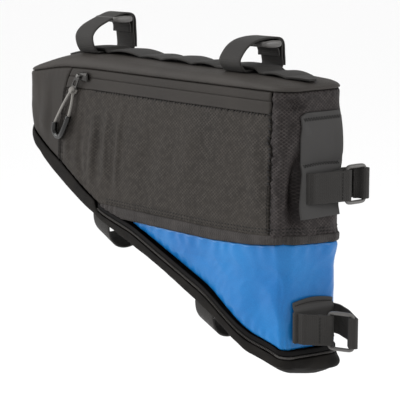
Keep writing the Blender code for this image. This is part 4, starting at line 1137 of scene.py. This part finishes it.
def seatPath(name, look):
    # From the near end through the loop, behind the patch and round the far side of the loop
    shortEnd, frontLayer, backLayer, farEnd = seatRows[name]
    z = seamZ - look["strap"]
    faceOut = 0.0 if name == "upper" else -bag["gap"] - bag["blueIn"]
    out, across, lean = seatRings[name]
    turn = math.radians(lean)
    reach = ringLook["reach"] - ringLook["bar"]
    nearBar = (out - reach * math.sin(turn), across - reach * math.cos(turn))
    farBar = (out + reach * math.sin(turn), across + reach * math.cos(turn))
    behind = faceOut + bag["gap"] + bag["strapThick"] / 2.0
    before = faceOut + seatLook["room"] + seatLook["thick"] + bag["gap"] + bag["strapThick"] / 2.0

    def besidePatch(step, lift, rise=0.0):
        a = ringHalf + look["shift"] + step
        inward = 0.0 if name == "upper" else 0.7 * cornerIn(a, z)
        return onRing(a, z + rise, lift + inward), a

    def freeRun(rows, rises):
        return [Vector((rearX + u, v, z + rise)) for (u, v), rise in zip(rows, rises)]

    half = seatLook["half"]
    rows = shortEnd + roundBar(*nearBar, 90.0 - lean, (90, 45, 0, -45, -90)) + frontLayer
    path = freeRun(rows, [0.0] * len(rows))
    hub, a = besidePatch(look["inset"] - half, (behind + before) / 2.0)
    normal = outward(a)
    tangent = Vector((normal.y, -normal.x, 0.0))
    for angle in (90, 45, 0, -45, -90):
        spin = math.radians(angle)
        away = normal * math.sin(spin) + tangent * math.cos(spin)
        path.append(hub + away * ((before - behind) / 2.0 + 0.1))
    for step in (-0.55, -0.3, 0.0, 0.5, 0.85, 1.0):
        path.append(besidePatch(half * step, behind, look["arc"] * clamp((step + 0.1) / 1.1))[0])
    # The layer behind bows up between the patch and the loop
    count = len(backLayer) + 1.0
    rises = [look["arc"] * (1.0 - ((k + 1.0) / count) ** 2.5) for k in range(len(backLayer))]
    path += freeRun(backLayer, rises)
    rows = roundBar(*farBar, 90.0 - lean, (45, 0, -45, -90, -135, -180)) + farEnd
    path += freeRun(rows, [0.0] * len(rows))
    sunkBy, slant = look["sunk"]
    return smoothPath([p - Vector((0.0, 0.0, sunkBy + slant * p.y)) for p in path], 5)


for name, look in patchLooks.items():
    strapPiece("seatStrap" + name.title(), seatPath(name, look), Vector((0, 0, -1)), "seat_strap_" + name)
print("seat patches and straps done")


# Hard parts rounded from the CAD meshes
def roundedCopy(name, node, material, look):
    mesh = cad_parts[node].data.copy()
    mesh.name = name
    sunkBy, slant = look.get("drop", (0.0, 0.0))
    bm = bmesh.new()
    bm.from_mesh(mesh)
    bmesh.ops.remove_doubles(bm, verts=bm.verts, dist=0.00002)
    bmesh.ops.join_triangles(bm, faces=bm.faces, angle_face_threshold=math.radians(12),
                             angle_shape_threshold=math.radians(60))
    middle = sum((vert.co.z for vert in bm.verts), 0.0) / len(bm.verts)
    for vert in bm.verts:
        vert.co.z = middle + (vert.co.z - middle) * look.get("tall", 1.0) - sunkBy * mm - slant * vert.co.y
    bmesh.ops.recalc_face_normals(bm, faces=bm.faces)
    bm.to_mesh(mesh)
    bm.free()
    mesh.materials.clear()
    mesh.materials.append(material)
    for face in mesh.polygons:
        face.material_index = 0
        face.use_smooth = True
    piece = settle(bpy.data.objects.new(name, mesh), [node])
    if "edge" in look:
        roundEdges(piece, look["edge"], 3, 35.0)
    if "levels" in look:
        smooth = piece.modifiers.new("smooth", "SUBSURF")
        smooth.levels = look["levels"]
        smooth.render_levels = look["levels"]


loopLooks = {
    "topRingFront": ("top_ring_front", {"levels": 2, "tall": 1.35}),
    "topRingRear": ("top_ring_rear", {"levels": 2, "tall": 1.35}),
    "seatRingUpper": ("seat_ring_upper", {"levels": 2}),
    "seatRingLower": ("seat_ring_lower", {"levels": 2, "drop": patchLooks["lower"]["sunk"]}),
}
for name, (node, look) in loopLooks.items():
    roundedCopy(name, node, loopPlastic, look)
roundedCopy("pullTab", "pull_tab", gunMetal, {"edge": 0.4})
roundedCopy("zipSlider", "zip_slider", darkMetal, {"edge": 0.7})
bridgeRoute = [
    (-88.2, -39.4, -38.4), (-89.4, -41.2, -38.8), (-91.2, -42.0, -39.6), (-92.8, -41.2, -40.4),
    (-93.4, -39.6, -40.8)]
bridge = smoothPath([Vector(p) for p in bridgeRoute], 5)
tubeAlong("sliderBridge", bridge, 0.75, 12, gunMetal, ())
print("hard parts done")

# Thread
def stitchMesh(long, wide, high):
    # One raised stitch: a small rounded bar along X
    bm = bmesh.new()
    bmesh.ops.create_cube(bm, size=1.0)
    for vert in bm.verts:
        vert.co = Vector((vert.co.x * long, vert.co.y * wide, vert.co.z * high))
    bmesh.ops.bevel(bm, geom=bm.edges[:], offset=min(wide, high) * 0.42, segments=1, affect="EDGES",
                    profile=0.5, material=-1)
    mesh = bpy.data.meshes.new("oneStitch")
    bm.to_mesh(mesh)
    bm.free()
    return mesh


def sewRows(name, rows, look):
    # Each row is a list of (point, outward direction); stitches lie along it
    bm = bmesh.new()
    one = stitchMesh(look["long"], look["wide"], look["high"])
    count = 0
    for row in rows:
        points = [p for p, n in row]
        lengths = runLengths(points)
        total = int(lengths[-1] / look["pitch"])
        for k, t in stations(lengths, [(i + 0.5) * lengths[-1] / total for i in range(total)]):
            spot = points[k].lerp(points[k + 1], t)
            up = row[k][1].lerp(row[k + 1][1], t).normalized()
            along = (points[k + 1] - points[k]).normalized()
            side = up.cross(along).normalized()
            up = along.cross(side)
            cant = math.radians(look.get("turn", 0.0) + look.get("zigzag", 0.0) * (1 - 2 * (count % 2)))
            turn = Matrix((along, side, up)).transposed().to_4x4() @ Matrix.Rotation(cant, 4, "Z")
            copy = one.copy()
            copy.transform(Matrix.Translation(spot + up * look.get("raise", 0.0)) @ turn)
            bm.from_mesh(copy)
            bpy.data.meshes.remove(copy)
            count += 1
    bpy.data.meshes.remove(one)
    finishPiece(name, bm, threadBlack, ())
    print(name, count, "stitches")


def ringRow(spots, lift):
    row = []
    for a, z in spots:
        row.append((onRing(a, z, lift(a, z)), outward(a)))
    return row


def spotOn(surface):
    # Height of a stitch row on a black wall
    out = clothOut(*surface)
    return lambda a, z: out(a, z, (99.0, 99.0, 99.0, 99.0))


nearWall = spotOn((0.5, 22.0, 2.7))
frontWall = spotOn((0.45, 24.0, 1.3))
rearWall = spotOn((0.6, 17.0, 8.2))
seamSpots = spread(-52.0, trimTop + 26.0, 40)
rows = [ringRow([(pocketFront(z) + off, z) for z in seamSpots], nearWall) for off in (1.9, 4.4)]
rows.append(ringRow([(pocketFront(z) - 1.9, z) for z in seamSpots], frontWall))
sewRows("pocketThread", rows, {"long": 2.4, "wide": 0.8, "high": 0.5, "pitch": 3.4, "raise": 0.05})

along = spread(pocketFront(-52.0) + 46.0, pocketRear - 1.5, 110)
rows = [ringRow([(a, zipEdgeZ(a) - 0.9) for a in along], lambda a, z: nearWall(a, z) - 0.3)]
sewRows("zipThread", rows, {
    "long": 3.2, "wide": 1.3, "high": 0.8, "pitch": 3.7, "raise": 0.05, "turn": 76.0, "zigzag": 9.0})

cornerSpots = spread(-50.0, trimTop + 44.0, 60)
rows = [ringRow([(cornerSeam(z) - 1.6, z) for z in cornerSpots], lambda a, z: nearWall(a, z) - 0.3)]
sewRows("cornerThread", rows, {
    "long": 4.0, "wide": 1.8, "high": 1.1, "pitch": 4.6, "turn": 62.0, "zigzag": 24.0})
lowSpots = spread(trimTop + 44.0, trimTop + 6.0, 30)
rows = [ringRow([(cornerSeam(z) - 2.4, z) for z in lowSpots], lambda a, z: nearWall(a, z) - 0.1)]
rearSpots = [(cornerSeam(z) + 2.2, z) for z in cornerSpots + lowSpots]
rows.append(ringRow(rearSpots, lambda a, z: rearWall(a, z) - 0.1))
sewRows("sideThread", rows, {"long": 2.2, "wide": 0.7, "high": 0.5, "pitch": 3.2})

trimSpots = spread(trimStart + 8.0, mirrored(trimStart) - 8.0, 300)
rows = []
for off in (2.2, 5.0):
    spots = [(a, trimHigh(a) + off) for a in trimSpots if trimHigh(a) + off > lowBlack(a) + 1.0]
    rows.append(ringRow(spots, lambda a, z: (nearWall if a < pocketRear else rearWall)(a, z) - 0.1))
sewRows("trimThread", rows, {"long": 2.5, "wide": 0.95, "high": 0.6, "pitch": 3.8, "raise": 0.05})


def patchRow(name, level):
    place, row = patchPlaces[name], []
    for u in spread(0.05, 0.95, 30):
        bow = 0.012 * (2.0 * u - 1.0) ** 2 if name == "upper" and level > 0.3 else 0.0
        v = 1.0 - level - bow
        spot = place(u, v)[0]
        near, above = place(u + 0.01, v)[0], place(u, v + 0.01)[0]
        row.append((spot, (near - spot).cross(above - spot).normalized()))
    return row


sewRows("patchThread", [patchRow("upper", 0.062), patchRow("upper", 0.492)], {
    "long": 3.0, "wide": 0.85, "high": 0.5, "pitch": 1.5, "raise": 0.05, "turn": 90.0, "zigzag": 24.0})
sewRows("lowPatchThread", [patchRow("lower", 0.10)], {
    "long": 1.8, "wide": 0.9, "high": 0.5, "pitch": 2.3, "raise": 0.05})
rows = []
for name, out, across in (("upper", 14.1, 15.8), ("lower", 9.7, -4.6)):
    sunkBy, slant = patchLooks[name]["sunk"]
    z = seamZ - patchLooks[name]["strap"] - sunkBy - slant * across
    facing = Vector((0.95, -0.31, 0.0))
    spot = Vector((rearX + out, across, z)) + facing * (bag["strapThick"] / 2.0 + 0.1)
    rows.append([(spot + Vector((0.0, 0.0, lift)), facing) for lift in spread(-11.5, 11.5, 12)])
sewRows("strapThread", rows, {"long": 2.0, "wide": 0.9, "high": 0.5, "pitch": 2.6})
print("thread done")

# Cord pull
cordRoute = [
    (-101.07, -40.83, -54.54), (-102.01, -41.16, -60.96), (-103.37, -41.5, -67.1),
    (-105.17, -41.83, -72.95), (-106.01, -42.03, -75.4), (-106.97, -42.27, -78.21),
    (-108.41, -42.56, -81.9), (-110.16, -42.85, -85.42), (-112.21, -43.04, -88.9),
    (-114.51, -42.96, -92.21), (-117.01, -42.67, -95.1), (-119.66, -42.0, -97.31),
    (-122.41, -41.36, -98.7), (-125.32, -41.2, -99.0), (-128.01, -41.19, -98.3), (-130.2, -41.15, -96.42),
    (-131.61, -41.13, -93.9), (-131.54, -41.12, -90.82), (-131.01, -41.12, -88.3),
    (-130.48, -41.12, -85.75), (-126.34, -41.07, -80.04), (-122.11, -41.02, -74.38),
    (-117.72, -40.97, -68.83), (-113.16, -40.93, -63.4), (-108.45, -40.88, -58.07),
    (-103.64, -40.83, -52.8)]
cordLook = {"width": 2.6, "sleeveStart": 5, "sleeveEnd": 19, "sleeve": 2.7}
cordCurve = lineCurve("pullCord", cordRoute, cordLook["width"] / 2.0, 3)
cordCurve.use_fill_caps = True
cordCurve.materials.append(braid)
pullCord = settle(bpy.data.objects.new("pullCord", cordCurve), ["pull_cord"])

sleeveRoute = [Vector(p) for p in cordRoute[cordLook["sleeveStart"]:cordLook["sleeveEnd"] + 1]]
sleeve = tubeAlong("pullSleeve", smoothPath(sleeveRoute, 3), cordLook["sleeve"], 20, sleeveRubber,
                   ["pull_clip"])
knotLook = {"middle": Vector((-101.2, -40.9, -53.2)), "lean": 34.0, "reach": 2.5, "wire": 1.25, "steps": 72}


def knotSpiral():
    # Three wraps of the cord about the lower bar of the tab
    lean, reach = math.radians(knotLook["lean"]), knotLook["reach"]
    side = Vector((math.cos(lean), 0.0, -math.sin(lean)))
    down = Vector((-math.sin(lean), 0.0, -math.cos(lean)))
    points = []
    for k in range(knotLook["steps"] + 1):
        turn = 2.0 * math.pi * k / 24.0
        slide = -1.8 + 3.6 * k / knotLook["steps"]
        away = down * (reach * math.cos(turn)) + Vector((0, -1, 0)) * (reach * math.sin(turn))
        points.append(knotLook["middle"] + side * slide + away)
    return points


knot = tubeAlong("pullKnot", knotSpiral(), knotLook["wire"], 12, braid, ["pull_knot"])
print("cord pull done")

# Stage
stageLook = {"floor": -0.75, "size": 60.0, "sky": 0.62, "sun": 1.8}
boxLooks = {
    "softBox": {"energy": 26.0, "wide": 1.5, "tall": 1.1, "spot": (-2.3, -2.0, 0.45),
                "aim": (0.0, 0.0, -0.15)},
    "rimBox": {"energy": 24.0, "wide": 1.2, "tall": 1.2, "spot": (2.2, 1.5, 0.8),
               "aim": (0.15, 0.0, -0.12)},
}
floorMesh = bpy.data.meshes.new("paleFloor")
bm = bmesh.new()
bmesh.ops.create_grid(bm, x_segments=2, y_segments=2, size=stageLook["size"])
bm.to_mesh(floorMesh)
bm.free()
floorMaterial = bpy.data.materials.new("paleFloor")
floorMaterial.use_nodes = True
floorShader = floorMaterial.node_tree.nodes["Principled BSDF"]
floorShader.inputs["Base Color"].default_value = (0.95, 0.95, 0.95, 1.0)
floorShader.inputs["Roughness"].default_value = 0.9
floorMesh.materials.append(floorMaterial)
floor = bpy.data.objects.new("paleFloor", floorMesh)
floor.location = (0.0, 0.0, stageLook["floor"])
scene.collection.objects.link(floor)

world = bpy.data.worlds.new("studio")
scene.world = world
world.use_nodes = True
sky = world.node_tree.nodes["Background"].inputs
sky["Color"].default_value = (1.0, 1.0, 1.0, 1.0)
sky["Strength"].default_value = stageLook["sky"]
lamp = bpy.data.lights.new("softSun", "SUN")
lamp.energy = stageLook["sun"]
lamp.angle = math.radians(40.0)
lampObject = bpy.data.objects.new("softSun", lamp)
lampObject.rotation_euler = Vector((0.42, 0.55, -0.72)).to_track_quat("-Z", "Y").to_euler()
scene.collection.objects.link(lampObject)
for name, look in boxLooks.items():
    light = bpy.data.lights.new(name, "AREA")
    light.energy = look["energy"]
    light.shape = "RECTANGLE"
    light.size = look["wide"]
    light.size_y = look["tall"]
    boxObject = bpy.data.objects.new(name, light)
    boxObject.location = look["spot"]
    boxObject.rotation_euler = (Vector(look["aim"]) - boxObject.location).to_track_quat("-Z", "Y").to_euler()
    scene.collection.objects.link(boxObject)
scene.view_settings.view_transform = "Standard"

bpy.context.view_layer.update()
